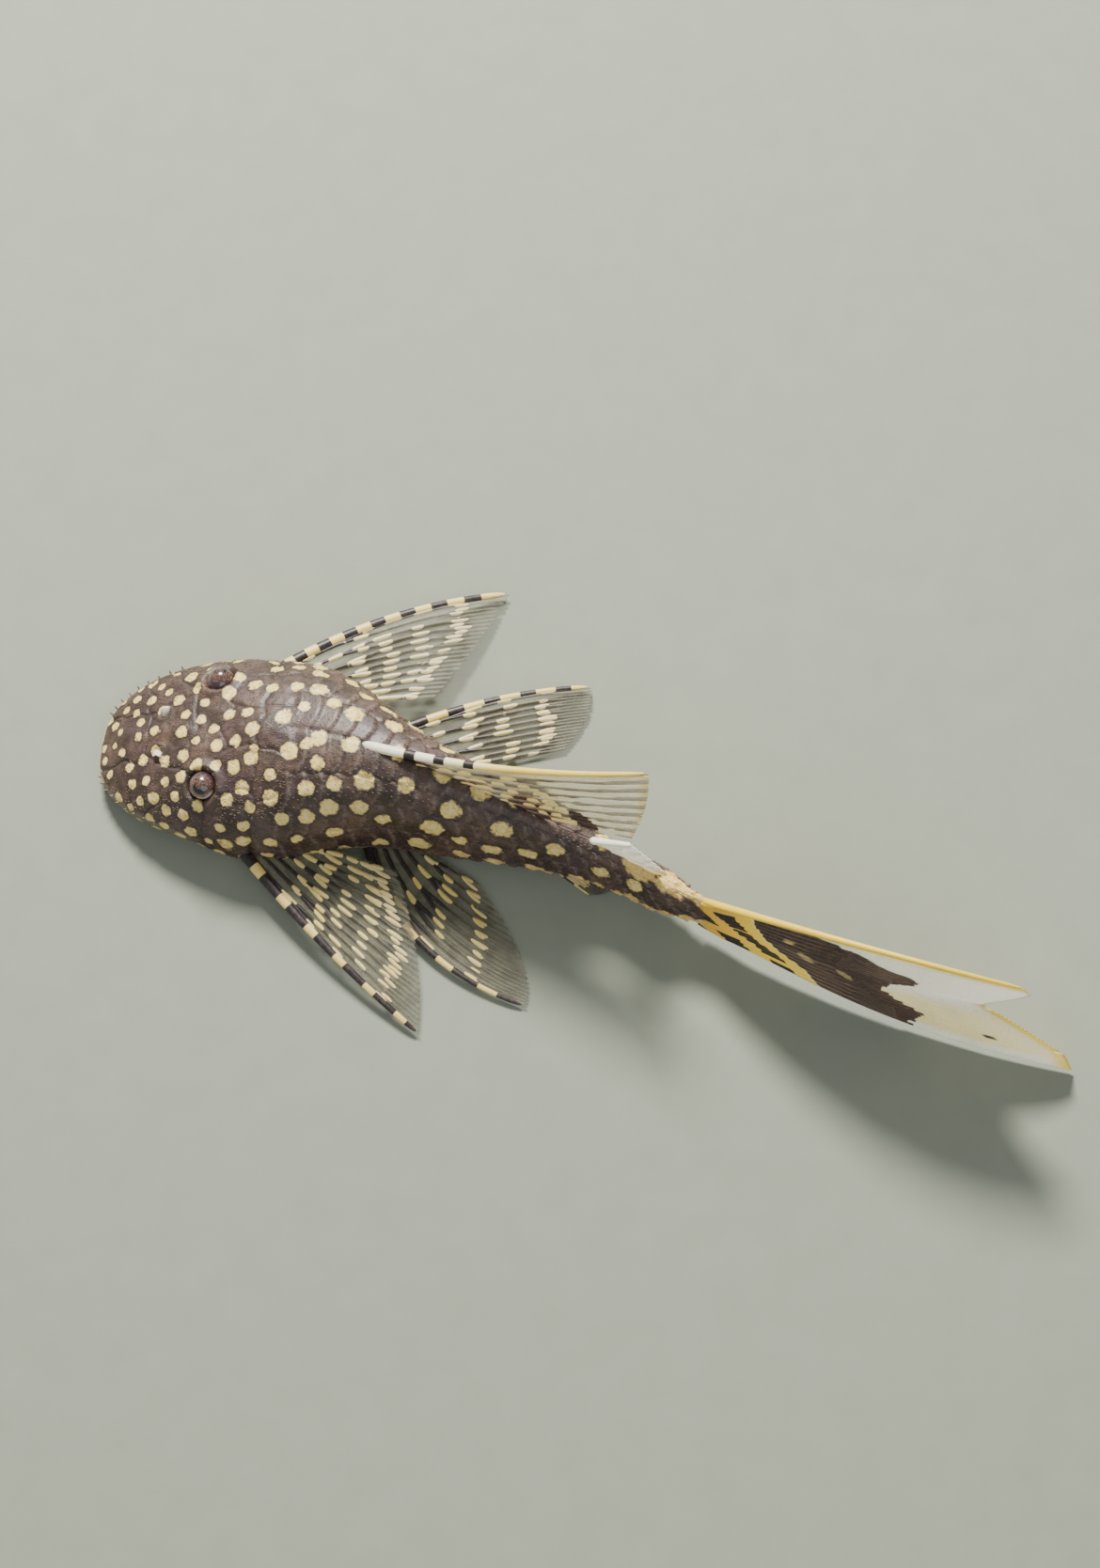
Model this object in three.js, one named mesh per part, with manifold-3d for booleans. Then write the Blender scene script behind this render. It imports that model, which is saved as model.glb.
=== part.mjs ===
// A young bristlenose pleco, life size, lying on its belly with its fins spread and its tail swung to its left.
// Millimetres, +Z up. The snout points along -X, the fish's right side is +Y, and the origin is on the belly's
// flat, on the midline. Stations are measured along the spine from the snout's tip.
import * as THREE from "three";
import { mergeVertices } from "three/addons/utils/BufferGeometryUtils.js";
import Module from "manifold-3d";

const wasm = await Module();
wasm.setup();

// Driving dimensions
const bodyLength = 46; // snout to the root of the tail fin
const originStation = 12; // station of the part's origin
const headLength = 13; // snout to the gill covers, where the fish is widest
const headHalfWidth = 7.3;
const headBluntness = 0.38; // the smaller, the blunter the snout seen from above
const flankFall = [10.5, 2.6]; // length behind the head and the half-width lost over it
const tailFall = [27, 3.4]; // the slower narrowing towards the tail
const snoutTop = 1.9; // height of the snout's upper edge
const backHeight = 9.6; // top of the back, where the dorsal fin starts
const backStation = 20;
const stalkTop = 5.6; // top of the tail stalk
const backFall = 24; // length over which the back comes down to it
const chinHeight = 1.15; // the head's underside, above the sucker mouth
const chinEnd = [7, 10]; // stations where it comes down to the belly
const bellyEnd = 22; // station where the belly starts to rise
const stalkBottom = 1.4;
const bellySink = 0.12; // how far the belly is pressed flat
const snoutRound = 2.2; // length of the snout's rounding, seen from the side
const tailRound = 1.2;
const bends = [
  // the spine's turns: from station, to station, degrees to the fish's left
  [9.5, 21.5, 13.5],
  [33, 43, 9.5],
];

const cutWidth = 0.3; // thin cut or gap between neighbours
const headEnd = 14;
const trunkEnd = 33.5;
const eyeStation = 8.5;
const eyeRadius = 1.0;
const eyeSide = 4.1;
const eyeSink = 0.34; // how far the eye's middle lies under the head's surface
const finThickness = 0.5;
const spineThickness = 1.0; // leading ray of the paired fins

const clamp = (x, low, high) => Math.min(high, Math.max(low, x));
const mix = (a, b, t) => a + (b - a) * t;
const ease = (x) => (1 - Math.cos(Math.PI * clamp(x, 0, 1))) / 2;
const quarterRound = (x) => Math.sqrt(1 - (1 - clamp(x, 0, 1)) ** 2);

// The spine's heading at a station, in radians, 0 along +X and falling to the fish's left
function headingAt(s) {
  const turned = bends.map(([from, to, degrees]) => degrees * ease((s - from) / (to - from)));
  return -THREE.MathUtils.degToRad(turned.reduce((sum, x) => sum + x, 0));
}

// The point of the spine at a station, on the floor
function spineAt(s) {
  const steps = 60;
  const step = (s - originStation) / steps;
  let x = 0;
  let y = 0;
  for (let i = 0; i < steps; i++) {
    const heading = headingAt(originStation + (i + 0.5) * step);
    x += Math.cos(heading) * step;
    y += Math.sin(heading) * step;
  }
  return { x, y, heading: headingAt(s) };
}

// A point given by its station, its distance to the fish's right and its height
function place(s, right, up) {
  const { x, y, heading } = spineAt(s);
  return new THREE.Vector3(x - right * Math.sin(heading), y + right * Math.cos(heading), up);
}

// A point given by its distance behind the snout, along the head's own axis
function point(behindSnout, right, up) {
  return new THREE.Vector3(behindSnout - originStation, right, up);
}

function halfWidthAt(s) {
  const behind = s - headLength;
  if (behind < 0) return headHalfWidth * (1 - (behind / headLength) ** 2) ** headBluntness;
  return headHalfWidth - flankFall[1] * ease(behind / flankFall[0]) - tailFall[1] * ease(behind / tailFall[0]);
}

function topAt(s) {
  if (s < backStation) return mix(snoutTop, backHeight, 1 - (1 - s / backStation) ** 2);
  return mix(backHeight, stalkTop, ease((s - backStation) / backFall));
}

function bottomAt(s) {
  const chin = chinHeight * (1 - ease((s - chinEnd[0]) / (chinEnd[1] - chinEnd[0])));
  return chin - bellySink + (stalkBottom + bellySink) * ease((s - bellyEnd) / (bodyLength - bellyEnd));
}

// A point on the body's surface. The angle runs round the section from the fish's right over the back.
function bodyPoint(s, angle, grow = 0) {
  const tailEnd = quarterRound((bodyLength + grow - s) / tailRound);
  const close = quarterRound(s / snoutRound) * tailEnd;
  const swell = grow * Math.min(1, s) * tailEnd;
  const middle = mix(0.42, 0.5, ease(s / bodyLength)); // share of the height where the section is widest
  const top = topAt(s);
  const bottom = bottomAt(s);
  const widest = mix(bottom, top, middle * (s < backStation ? mix(0.62, 0.75, s / backStation) : 0.75));
  const up = Math.sin(angle);
  const across = Math.cos(angle);
  const power = up > 0 ? mix(1, 0.9, ease(s / 30)) : mix(0.45, 0.8, ease((s - bellyEnd) / 16));
  const width = halfWidthAt(s) * tailEnd + swell;
  const height = (up > 0 ? top - widest : widest - bottom) * close + swell;
  const right = width * Math.sign(across) * Math.abs(across) ** power;
  const z = widest + height * Math.sign(up) * Math.abs(up) ** power;
  return place(s, right, grow ? z : Math.max(0, z));
}

// Any closed three.js geometry as a solid for joining and cutting
function solidOf(geometry) {
  const bare = geometry.clone();
  bare.deleteAttribute("normal");
  bare.deleteAttribute("uv");
  const merged = mergeVertices(bare, 1e-4);
  return new wasm.Manifold(
    new wasm.Mesh({
      numProp: 3,
      vertProperties: merged.attributes.position.array,
      triVerts: new Uint32Array(merged.index.array),
    }),
  );
}

function geometryOf(solid) {
  const mesh = solid.getMesh();
  return new THREE.BufferGeometry()
    .setAttribute("position", new THREE.BufferAttribute(new Float32Array(mesh.vertProperties), 3))
    .setIndex(new THREE.BufferAttribute(new Uint32Array(mesh.triVerts), 1));
}

// A sphere stretched over the body, its poles at the snout and the tail
function bodyGeometry(grow) {
  const geometry = new THREE.SphereGeometry(1, 36, 40);
  const at = geometry.attributes.position;
  for (let i = 0; i < at.count; i++) {
    const along = Math.acos(clamp(at.getY(i), -1, 1)) / Math.PI;
    const s = (bodyLength + grow) * (0.3 * along + 0.7 * along * along);
    const p = bodyPoint(s, Math.atan2(at.getZ(i), at.getX(i)), grow);
    at.setXYZ(i, p.x, p.y, p.z);
  }
  return geometry;
}

// A fin as a slab on a surface that runs from its root (v = 0) to its edge (v = 1), with u from its front ray back
function finGeometry({ across, out, surface, thickness, floor = true }) {
  const geometry = new THREE.BoxGeometry(1, 1, 1, across, out, 1);
  const at = geometry.attributes.position;
  const step = 0.01;
  for (let i = 0; i < at.count; i++) {
    const u = at.getX(i) + 0.5;
    const v = at.getY(i) + 0.5;
    const alongU = surface(u + step, v).sub(surface(u - step, v));
    const alongV = surface(u, v + step).sub(surface(u, v - step));
    const normal = alongU.cross(alongV).normalize();
    const p = surface(u, v).addScaledVector(normal, Math.sign(at.getZ(i)) * thickness(u, v) / 2);
    at.setXYZ(i, p.x, p.y, floor ? Math.max(0, p.z) : p.z);
  }
  return geometry;
}

// Rays fan out from a root line to an edge line. The edge bulges by edgeBow and the front ray bends by rayBow.
function fanSurface({ root, edge, edgeBow = 0, rayBow = new THREE.Vector3(), lastRayBow = new THREE.Vector3() }) {
  return (u, v) => {
    const start = root[0].clone().lerp(root[1], u);
    const end = edge[0].clone().lerp(edge[1], u);
    const outward = end.clone().sub(start).normalize();
    const bow = rayBow.clone().lerp(lastRayBow, u);
    const bulge = typeof edgeBow === "function" ? edgeBow(u) : edgeBow * Math.sin(Math.PI * clamp(u, 0, 1));
    return start
      .lerp(end.addScaledVector(outward, bulge), v)
      .addScaledVector(bow, 4 * v * (1 - v));
  };
}

const thickFront = (u, v) => mix(spineThickness, finThickness, clamp(u * 5, 0, 1)) * mix(1, 0.6, v);
const evenly = () => finThickness;

const fins = {
  pectoral_fin_right: {
    root: [point(10.4, 6.0, 2.0), point(14.6, 4.9, 1.3)],
    edge: [point(27.5, 16.1, 0.4), point(23.2, 6.5, 1.6)],
    edgeBow: 0.5,
    rayBow: new THREE.Vector3(-0.4, 1.1, 0.3),
  },
  pectoral_fin_left: {
    root: [point(14.2, -5.2, 1.3), point(10.4, -6.0, 2.0)],
    edge: [point(22.5, -7.3, 2.2), point(25.6, -18.5, 0.4)],
    edgeBow: 0.9,
    rayBow: new THREE.Vector3(0, 0, 0.3),
    lastRayBow: new THREE.Vector3(-0.4, -0.4, 0.3),
    frontIsLast: true,
  },
  pelvic_fin_right: {
    root: [point(19.4, 3.1, 0.75), point(22.8, 0.6, 0.6)],
    edge: [point(34.3, 9.4, 0.35), point(33.0, 4.2, 0.35)],
    edgeBow: 0.8,
    rayBow: new THREE.Vector3(0, 0.8, 0.15),
  },
  pelvic_fin_left: {
    root: [point(23.2, -4.4, 0.6), point(19.8, -4.4, 0.75)],
    edge: [point(28.1, -6.7, 0.35), point(32.7, -15.5, 0.3)],
    edgeBow: 2.2,
    lastRayBow: new THREE.Vector3(-1.7, -1.7, 0.15),
    frontIsLast: true,
  },
};

const dorsalFin = {
  root: [place(19.2, 0, topAt(19.2) - 0.4), place(32, 0, topAt(32) - 0.6)],
  edge: [point(39.6, -3.7, 16.3), point(38.8, -5.8, 9.6)],
  edgeBow: 0.4,
  rayBow: new THREE.Vector3(0, -0.5, -0.7),
};

// The tail fin's upper lobe ends short of the lower one, with a notch between them.
const notch = { at: 0.44, depth: 4.6, halfWidth: 0.36 };
const caudalFin = {
  root: [place(45.2, 0, stalkTop - 0.3), place(45.2, 0, stalkBottom - 0.1)],
  edge: [point(66.2, -14.2, 11.8), point(70.9, -15.4, 0.3)],
  edgeBow: (u) => -notch.depth * Math.max(0, 1 - Math.abs(u - notch.at) / notch.halfWidth),
  rayBow: new THREE.Vector3(0, -1.3, 3.0),
  lastRayBow: new THREE.Vector3(0, -1.3, -0.2),
};

const adiposeFin = {
  root: [place(36.2, 0, topAt(36.2) - 0.5), place(41, 0, topAt(41) - 0.5)],
  edge: [place(39.5, 0, 8.6), place(42.4, 0, 6.6)],
  edgeBow: 0.1,
};

const analFin = {
  root: [place(31.4, 0, bottomAt(31.4) + 0.3), place(33.6, 0, bottomAt(33.6) + 0.3)],
  edge: [place(37.2, -1.6, 0.25), place(38.6, -0.3, 0.45)],
  edgeBow: 0.3,
};

const colours = {
  skin: new THREE.MeshStandardMaterial({ color: 0x3b2f28, roughness: 0.55, metalness: 0 }),
  fin: new THREE.MeshStandardMaterial({ color: 0x8d8466, roughness: 0.5, metalness: 0 }),
  eye: new THREE.MeshStandardMaterial({ color: 0x14110d, roughness: 0.1, metalness: 0 }),
  lip: new THREE.MeshStandardMaterial({ color: 0xb9a68c, roughness: 0.6, metalness: 0 }),
};

const fish = new THREE.Group();

function add(name, geometry, material) {
  const mesh = new THREE.Mesh(geometry, material);
  mesh.name = name;
  fish.add(mesh);
  return mesh;
}

// A thin slab across the body at a station, which parts it
function cutAt(s) {
  const { x, y, heading } = spineAt(s);
  const slab = new THREE.BoxGeometry(cutWidth, 30, 30);
  slab.rotateZ(heading);
  slab.translate(x, y, 0);
  return solidOf(slab);
}

function eyeCentre(side) {
  const angle = Math.acos(eyeSide / halfWidthAt(eyeStation));
  const surface = bodyPoint(eyeStation, side > 0 ? angle : Math.PI - angle);
  const inward = new THREE.Vector3(0, -side * 0.42, -0.9).normalize();
  return surface.addScaledVector(inward, eyeSink);
}

function eyeball(side, radius) {
  const geometry = new THREE.SphereGeometry(radius, 16, 10);
  const c = eyeCentre(side);
  return geometry.translate(c.x, c.y, c.z);
}

function addBody() {
  let whole = solidOf(bodyGeometry(0));
  for (const side of [-1, 1]) whole = whole.subtract(solidOf(eyeball(side, eyeRadius + cutWidth / 2)));
  const pieces = whole
    .subtract(cutAt(headEnd))
    .subtract(cutAt(trunkEnd))
    .decompose()
    .sort((a, b) => a.boundingBox().min[0] - b.boundingBox().min[0]);
  ["head", "trunk", "tail_stalk"].forEach((name, i) => add(name, geometryOf(pieces[i]), colours.skin));
}

function addEyes() {
  add("eye_right", eyeball(1, eyeRadius), colours.eye);
  add("eye_left", eyeball(-1, eyeRadius), colours.eye);
}

// The sucker mouth: a round lip disc, hollowed below, under the snout
function addMouth() {
  const mouthStation = 4.4;
  const discLength = 2.7;
  const discWidth = 3.2;
  const thickness = chinHeight - bellySink - cutWidth;
  const profile = new THREE.Path();
  profile.moveTo(0, thickness);
  profile.lineTo(0.86, thickness);
  profile.quadraticCurveTo(1, thickness, 1, thickness * 0.45);
  profile.quadraticCurveTo(1, 0, 0.84, 0);
  profile.lineTo(0.6, 0);
  profile.quadraticCurveTo(0.4, thickness * 0.5, 0, thickness * 0.5);
  const rim = profile.getPoints(4);
  rim.push(new THREE.Vector2(0, thickness));
  const disc = new THREE.LatheGeometry(rim.reverse(), 28);
  disc.rotateX(Math.PI / 2);
  disc.scale(discLength, discWidth, 1);
  const box = new THREE.Box3().setFromBufferAttribute(disc.attributes.position);
  const c = place(mouthStation, 0, -box.min.z);
  add("sucker_mouth", disc.translate(c.x, c.y, c.z), colours.lip);
}

// The short feelers at the corners of the mouth
function addBarbels() {
  for (const side of [-1, 1]) {
    const path = new THREE.CatmullRomCurve3([
      place(4.9, side * 3.55, 0.55),
      place(5.8, side * 4.3, 0.45),
      place(6.9, side * 4.7, 0.35),
    ]);
    const section = new THREE.Shape().absarc(0, 0, 0.3, 0, 2 * Math.PI);
    const barbel = new THREE.ExtrudeGeometry(section, { extrudePath: path, steps: 5, curveSegments: 8 });
    const at = barbel.attributes.position;
    for (let i = 0; i < at.count; i++) at.setZ(i, Math.max(0, at.getZ(i)));
    add(side > 0 ? "barbel_right" : "barbel_left", barbel, colours.lip);
  }
}

// Every fin is cut by the body a little grown, so that it stands just clear of it.
function addFins() {
  const grown = solidOf(bodyGeometry(cutWidth));
  const addFin = (name, fan, across, out, thickness, floor = true) => {
    const slab = finGeometry({ across, out, surface: fanSurface(fan), thickness, floor });
    const parts = solidOf(slab).subtract(grown).decompose();
    parts.sort((a, b) => b.volume() - a.volume());
    add(name, geometryOf(parts[0]), colours.fin);
  };
  for (const [name, fan] of Object.entries(fins)) {
    const thickness = fan.frontIsLast ? (u, v) => thickFront(1 - u, v) : thickFront;
    addFin(name, fan, 8, 9, thickness);
  }
  addFin("dorsal_fin", dorsalFin, 8, 9, evenly, false);
  addFin("tail_fin", caudalFin, 14, 9, evenly);
  addFin("adipose_fin", adiposeFin, 3, 4, evenly, false);
  addFin("anal_fin", analFin, 4, 5, evenly);
}

addBody();
addEyes();
addMouth();
addBarbels();
addFins();

export default fish;
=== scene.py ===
# A young bristlenose pleco, life size: an armoured catfish on its belly, fins spread, tail swung left.
# Sizes are millimetres, stations run along the spine from the snout, and joined() turns them into metres.
import math
import random
from itertools import product

import bmesh
import bpy
from mathutils import Matrix, Vector, noise
from mathutils.bvhtree import BVHTree
from mathutils.kdtree import KDTree


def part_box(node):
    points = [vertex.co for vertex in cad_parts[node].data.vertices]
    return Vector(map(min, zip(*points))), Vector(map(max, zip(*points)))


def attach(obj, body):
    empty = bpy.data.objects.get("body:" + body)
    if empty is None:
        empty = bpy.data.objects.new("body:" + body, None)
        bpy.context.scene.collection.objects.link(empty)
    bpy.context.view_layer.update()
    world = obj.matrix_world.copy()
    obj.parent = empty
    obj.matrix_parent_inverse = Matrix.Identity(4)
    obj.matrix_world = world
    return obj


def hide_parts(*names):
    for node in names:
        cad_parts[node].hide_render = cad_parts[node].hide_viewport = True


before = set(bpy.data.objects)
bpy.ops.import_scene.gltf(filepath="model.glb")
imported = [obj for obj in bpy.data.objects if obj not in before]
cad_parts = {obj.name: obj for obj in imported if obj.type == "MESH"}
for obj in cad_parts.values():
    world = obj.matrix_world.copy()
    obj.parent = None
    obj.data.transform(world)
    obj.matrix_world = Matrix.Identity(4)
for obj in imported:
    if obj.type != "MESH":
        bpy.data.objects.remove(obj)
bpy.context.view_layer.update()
mm = 0.001


# Camera, lights and floor
studio = {
    "target": (20.25, 1.58, 0), "elevation": 67, "azimuth": 7.1, "distance": 250,
    "frameHeight": 112.6,  # what the long side of the picture shows
    "sensor": 36, "nearest": 10,
    "lights": {
        "sun": {"at": (-60, 230, 260), "size": 90, "power": 3.4, "warmth": (1.0, 0.97, 0.9)},
        "fill": {"at": (120, -260, 240), "size": 320, "power": 0.45, "warmth": (0.9, 0.95, 1.0)},
    },
    "world": (228, 230, 232), "worldLight": 0.5,
    "floor": (142, 147, 132), "floorShade": (133, 138, 124), "floorGrain": 3, "floorHalf": 2500,
    "floorDrop": 0.02,
}


def aimed(thing, place, target):
    thing.location = Vector(place) * mm
    thing.rotation_euler = (Vector(target) - Vector(place)).to_track_quat("-Z", "Y").to_euler()
    bpy.context.scene.collection.objects.link(thing)


def setCamera():
    tilt, turn = math.radians(studio["elevation"]), math.radians(studio["azimuth"])
    back = Vector((math.sin(turn) * math.cos(tilt), -math.cos(turn) * math.cos(tilt), math.sin(tilt)))
    lens = bpy.data.cameras.new("camera")
    lens.sensor_width = studio["sensor"]
    lens.lens = studio["sensor"] * studio["distance"] / studio["frameHeight"]
    lens.clip_start = studio["nearest"] * mm
    camera = bpy.data.objects.new("camera", lens)
    target = Vector(studio["target"])
    aimed(camera, target + back * studio["distance"], target)
    bpy.context.scene.camera = camera


def setLights():
    for name, light in studio["lights"].items():
        lamp = bpy.data.lights.new(name, "AREA")
        lamp.shape = "DISK"
        lamp.size = light["size"] * mm
        lamp.energy = light["power"]
        lamp.color = light["warmth"]
        aimed(bpy.data.objects.new(name, lamp), light["at"], studio["target"])


# Small sums
def clamp(x, low=0.0, high=1.0):
    return min(high, max(low, x))


def mix(a, b, t):
    return a + (b - a) * t


def ease(x):
    return (1 - math.cos(math.pi * clamp(x))) / 2


def ramp(x, low, high):  # 0 below low, 1 above high, smooth between
    t = clamp((x - low) / (high - low))
    return t * t * (3 - 2 * t)


def hump(x, width):
    return math.exp(-((x / width) ** 2))


def quarterRound(x):
    return math.sqrt(1 - (1 - clamp(x)) ** 2)


# Shader nodes
def srgb(red, green, blue):
    def linear(c):
        c /= 255
        return c / 12.92 if c < 0.04045 else ((c + 0.055) / 1.055) ** 2.4
    return (linear(red), linear(green), linear(blue), 1)


class Wire:  # a socket that takes part in sums
    def __init__(self, finish, socket):
        self.finish = finish
        self.socket = socket

    def sum(self, how, first, second):
        return self.finish.node("ShaderNodeMath", {"operation": how}, {0: first, 1: second})

    def __add__(self, other):
        return self.sum("ADD", self, other)

    def __radd__(self, other):
        return self.sum("ADD", other, self)

    def __sub__(self, other):
        return self.sum("SUBTRACT", self, other)

    def __rsub__(self, other):
        return self.sum("SUBTRACT", other, self)

    def __mul__(self, other):
        return self.sum("MULTIPLY", self, other)

    def __rmul__(self, other):
        return self.sum("MULTIPLY", other, self)

    def over(self, other):
        return self.sum("MAXIMUM", self, other)

    def root(self):
        return self.sum("SQRT", self, 0)

    def step(self, low, high):
        inputs = {"Value": self, "From Min": low, "From Max": high}
        return self.finish.node("ShaderNodeMapRange", {"interpolation_type": "SMOOTHSTEP"}, inputs)


class Finish:
    def __init__(self, name, **fixed):
        self.material = bpy.data.materials.new(name)
        self.material.use_nodes = True
        self.tree = self.material.node_tree
        self.shader = self.tree.nodes["Principled BSDF"]
        for socket, value in fixed.items():
            self.shader.inputs[socket.replace("_", " ")].default_value = value
        self.here = self.node("ShaderNodeTexCoord", out=3)

    def node(self, kind, settings=None, inputs=None, out=0):
        made = self.tree.nodes.new(kind)
        for setting, value in (settings or {}).items():
            setattr(made, setting, value)
        for socket, value in (inputs or {}).items():
            self.put(made.inputs[socket], value)
        return Wire(self, made.outputs[out])

    def put(self, socket, value):
        if isinstance(value, Wire):
            self.tree.links.new(value.socket, socket)
        elif isinstance(value, tuple):  # a colour
            socket.default_value = srgb(*value)
        else:
            socket.default_value = value

    def set(self, socket, value):
        self.put(self.shader.inputs[socket], value)

    def mask(self, name):
        return self.node("ShaderNodeAttribute", {"attribute_name": name}, out=2)

    def noise(self, grain, detail=2):  # grain is the size of its lumps in millimetres
        inputs = {"Vector": self.here, "Scale": 1 / (grain * mm), "Detail": detail, "Roughness": 0.55}
        return self.node("ShaderNodeTexNoise", {}, inputs)

    def cells(self, size):
        inputs = {"Vector": self.here, "Scale": 1 / (size * mm)}
        return self.node("ShaderNodeTexVoronoi", {"feature": "F1"}, inputs)

    def tint(self, under, over, share):
        return self.node("ShaderNodeMix", {"data_type": "RGBA"}, {0: share, 6: under, 7: over}, out=2)

    def bump(self, height, depth, strength=1):
        inputs = {"Height": height, "Distance": depth * mm, "Strength": strength}
        self.set("Normal", self.node("ShaderNodeBump", {}, inputs))


# Body form, the same as the solid's
body = {
    "length": 46, "originStation": 12, "headLength": 13, "headHalfWidth": 7.3, "bluntness": 0.38,
    "flankFall": (10.5, 2.6), "tailFall": (27, 3.4),  # length, and half-width lost over it
    "snoutTop": 1.9, "backHeight": 9.6, "backStation": 20, "stalkTop": 5.6, "backFall": 24,
    "chinHeight": 1.15, "chinEnd": (7, 10), "bellyEnd": 22, "stalkBottom": 1.4, "bellySink": 0.12,
    "snoutRound": 2.2, "tailRound": 1.2,
    "widest": (0.42, 0.5),  # height of the widest line in a section, at the snout and the tail
    "widestTrim": (0.62, 0.75),  # how much of that at the snout, and from the back's station on
    "backPower": (1, 0.9, 30), "bellyPower": (0.45, 0.8, 16),  # squareness at first and last, and between
    "bends": ((9.5, 21.5, 13.5), (33, 43, 9.5)),  # from station, to station, degrees to the fish's left
    "spineStep": 0.05, "spineEnd": 60,
}


def headingAt(s):
    return -math.radians(sum(turn * ease((s - a) / (b - a)) for a, b, turn in body["bends"]))


def spineLine():
    step, line = body["spineStep"], [Vector((0, 0, 0))]
    for i in range(round(body["spineEnd"] / step)):
        heading = headingAt((i + 0.5) * step)
        line.append(line[-1] + Vector((math.cos(heading), math.sin(heading), 0)) * step)
    origin = line[round(body["originStation"] / step)]
    return [p - origin for p in line]


spine = spineLine()


def place(s, right, up):
    steps = s / body["spineStep"]
    i = int(clamp(steps, 0, len(spine) - 2))
    heading = headingAt(s)
    sideways = Vector((-math.sin(heading), math.cos(heading), 0)) * right
    return spine[i].lerp(spine[i + 1], steps - i) + sideways + Vector((0, 0, up))


def point(behindSnout, right, up):
    return Vector((behindSnout - body["originStation"], right, up))


def halfWidthAt(s):
    behind = s - body["headLength"]
    if behind < 0:
        return body["headHalfWidth"] * max(0, 1 - (behind / body["headLength"]) ** 2) ** body["bluntness"]
    flank, tail = body["flankFall"], body["tailFall"]
    return body["headHalfWidth"] - flank[1] * ease(behind / flank[0]) - tail[1] * ease(behind / tail[0])


def topAt(s):
    if s < body["backStation"]:
        return mix(body["snoutTop"], body["backHeight"], 1 - (1 - s / body["backStation"]) ** 2)
    return mix(body["backHeight"], body["stalkTop"], ease((s - body["backStation"]) / body["backFall"]))


def bottomAt(s):
    chinStart, chinStop = body["chinEnd"]
    chin = body["chinHeight"] * (1 - ease((s - chinStart) / (chinStop - chinStart)))
    climb = ease((s - body["bellyEnd"]) / (body["length"] - body["bellyEnd"]))
    return chin - body["bellySink"] + (body["stalkBottom"] + body["bellySink"]) * climb


def section(s, angle):  # distance to the right and height; the angle runs from the right side over the back
    tailEnd = quarterRound((body["length"] - s) / body["tailRound"])
    close = quarterRound(s / body["snoutRound"]) * tailEnd
    top, bottom = topAt(s), bottomAt(s)
    trim = mix(*body["widestTrim"], min(1, s / body["backStation"]))
    widest = mix(bottom, top, mix(*body["widest"], ease(s / body["length"])) * trim)
    up, across = math.sin(angle), math.cos(angle)
    first, last, way = body["backPower" if up > 0 else "bellyPower"]
    power = mix(first, last, ease((s if up > 0 else s - body["bellyEnd"]) / way))
    height = (top - widest if up > 0 else widest - bottom) * close
    right = halfWidthAt(s) * tailEnd * math.copysign(abs(across) ** power, across)
    return right, max(0, widest + height * math.copysign(abs(up) ** power, up))


# Surface of the skin
skinMesh = {
    "around": 320, "along": 296, "crowding": 1.45, "inset": 0.1, "underShare": 0.62, "angleProbes": 96,
    "tailTaper": 0.36, "taperStations": (41.5, 45.7),
    "wrapMargin": (0.05, 0.03),  # of the unwrap, at its ends and at its sides
}
orbit = {
    "reach": 3, "socket": (0.84, 1.14), "socketDepth": 0.8, "rim": 1.4, "rimWidth": 0.3, "rimHeight": 0.27,
}
nostril = {
    "station": 4.7, "side": 1.5, "pit": 0.3, "depth": 0.34, "rim": 0.5, "rimWidth": 0.16, "rimHeight": 0.1,
}
headPlates = {
    # station and distance from the midline of each bony plate of the head; the other side mirrors it
    "seeds": (
        (2.0, 0.9), (2.2, 3.0), (4.6, 3.6), (5.6, 1.1), (6.4, 5.4), (8.4, 1.5),
        (10.6, 0.2), (10.9, 3.2), (11.0, 5.9), (13.4, 0), (13.3, 3.4), (13.6, 6.0),
    ),
    "groove": 0.2, "depth": 0.1, "wobble": 0.5, "wobbleGrain": 0.7, "rough": 0.06, "roughGrain": 1.6,
    "lowerEdge": (94, 106), "end": 14.4,
}
headForms = (
    # distance from the midline and its reach, station and its reach, height
    (0, 1.7, 8.4, 1.7, -0.16),  # hollow between the eyes
    (0, 1.5, 12.4, 1.9, 0.26),  # crest at the back of the skull
    (4.4, 1.1, 5.2, 2.0, 0.16),  # cheek
    (6.2, 0.9, 9.8, 1.3, 0.2),  # gill cover
)
noseRidge = {"height": 0.16, "width": 0.8, "rise": (1, 3), "fall": (6.5, 8.5)}
gillGroove = {"depth": 0.16, "station": 11.9, "side": 6, "slant": 0.3, "width": 0.2, "from": (5.2, 5.8)}
bodyPlates = {
    "rows": (0, 26, 52, 78, 106, 142),  # degrees from the ridge where one row of plates meets the next
    "start": 14.4, "pitch": 1.3, "bulge": 0.42, "quarterGirth": 7.5,
    "lap": 0.18, "lapCurve": 1.2, "lapEnd": 0.84, "paleEdge": (0.6, 0.9),
    "keel": 0.08, "keelWidth": 0.22, "ridgeKeel": 0.3, "groove": 0.07, "grooveWidth": 0.14,
}
bareBelly = {"edge": (104, 146), "edgeFrom": 18, "edgeOver": 12, "blend": 7, "endFrom": 27, "endOver": 8}
softSnout = {"low": (64, 84), "lowOver": 9, "blend": 7, "high": (98, 108), "end": (6.5, 9.5)}


def eyeCentres():
    return [sum(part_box("eye_" + side), Vector()) / 2 / mm for side in ("right", "left")]


eyes = eyeCentres()


def plateBulge(across):
    return bodyPlates["bulge"] * (1 - (2 * across - 1) ** 2)


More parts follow.
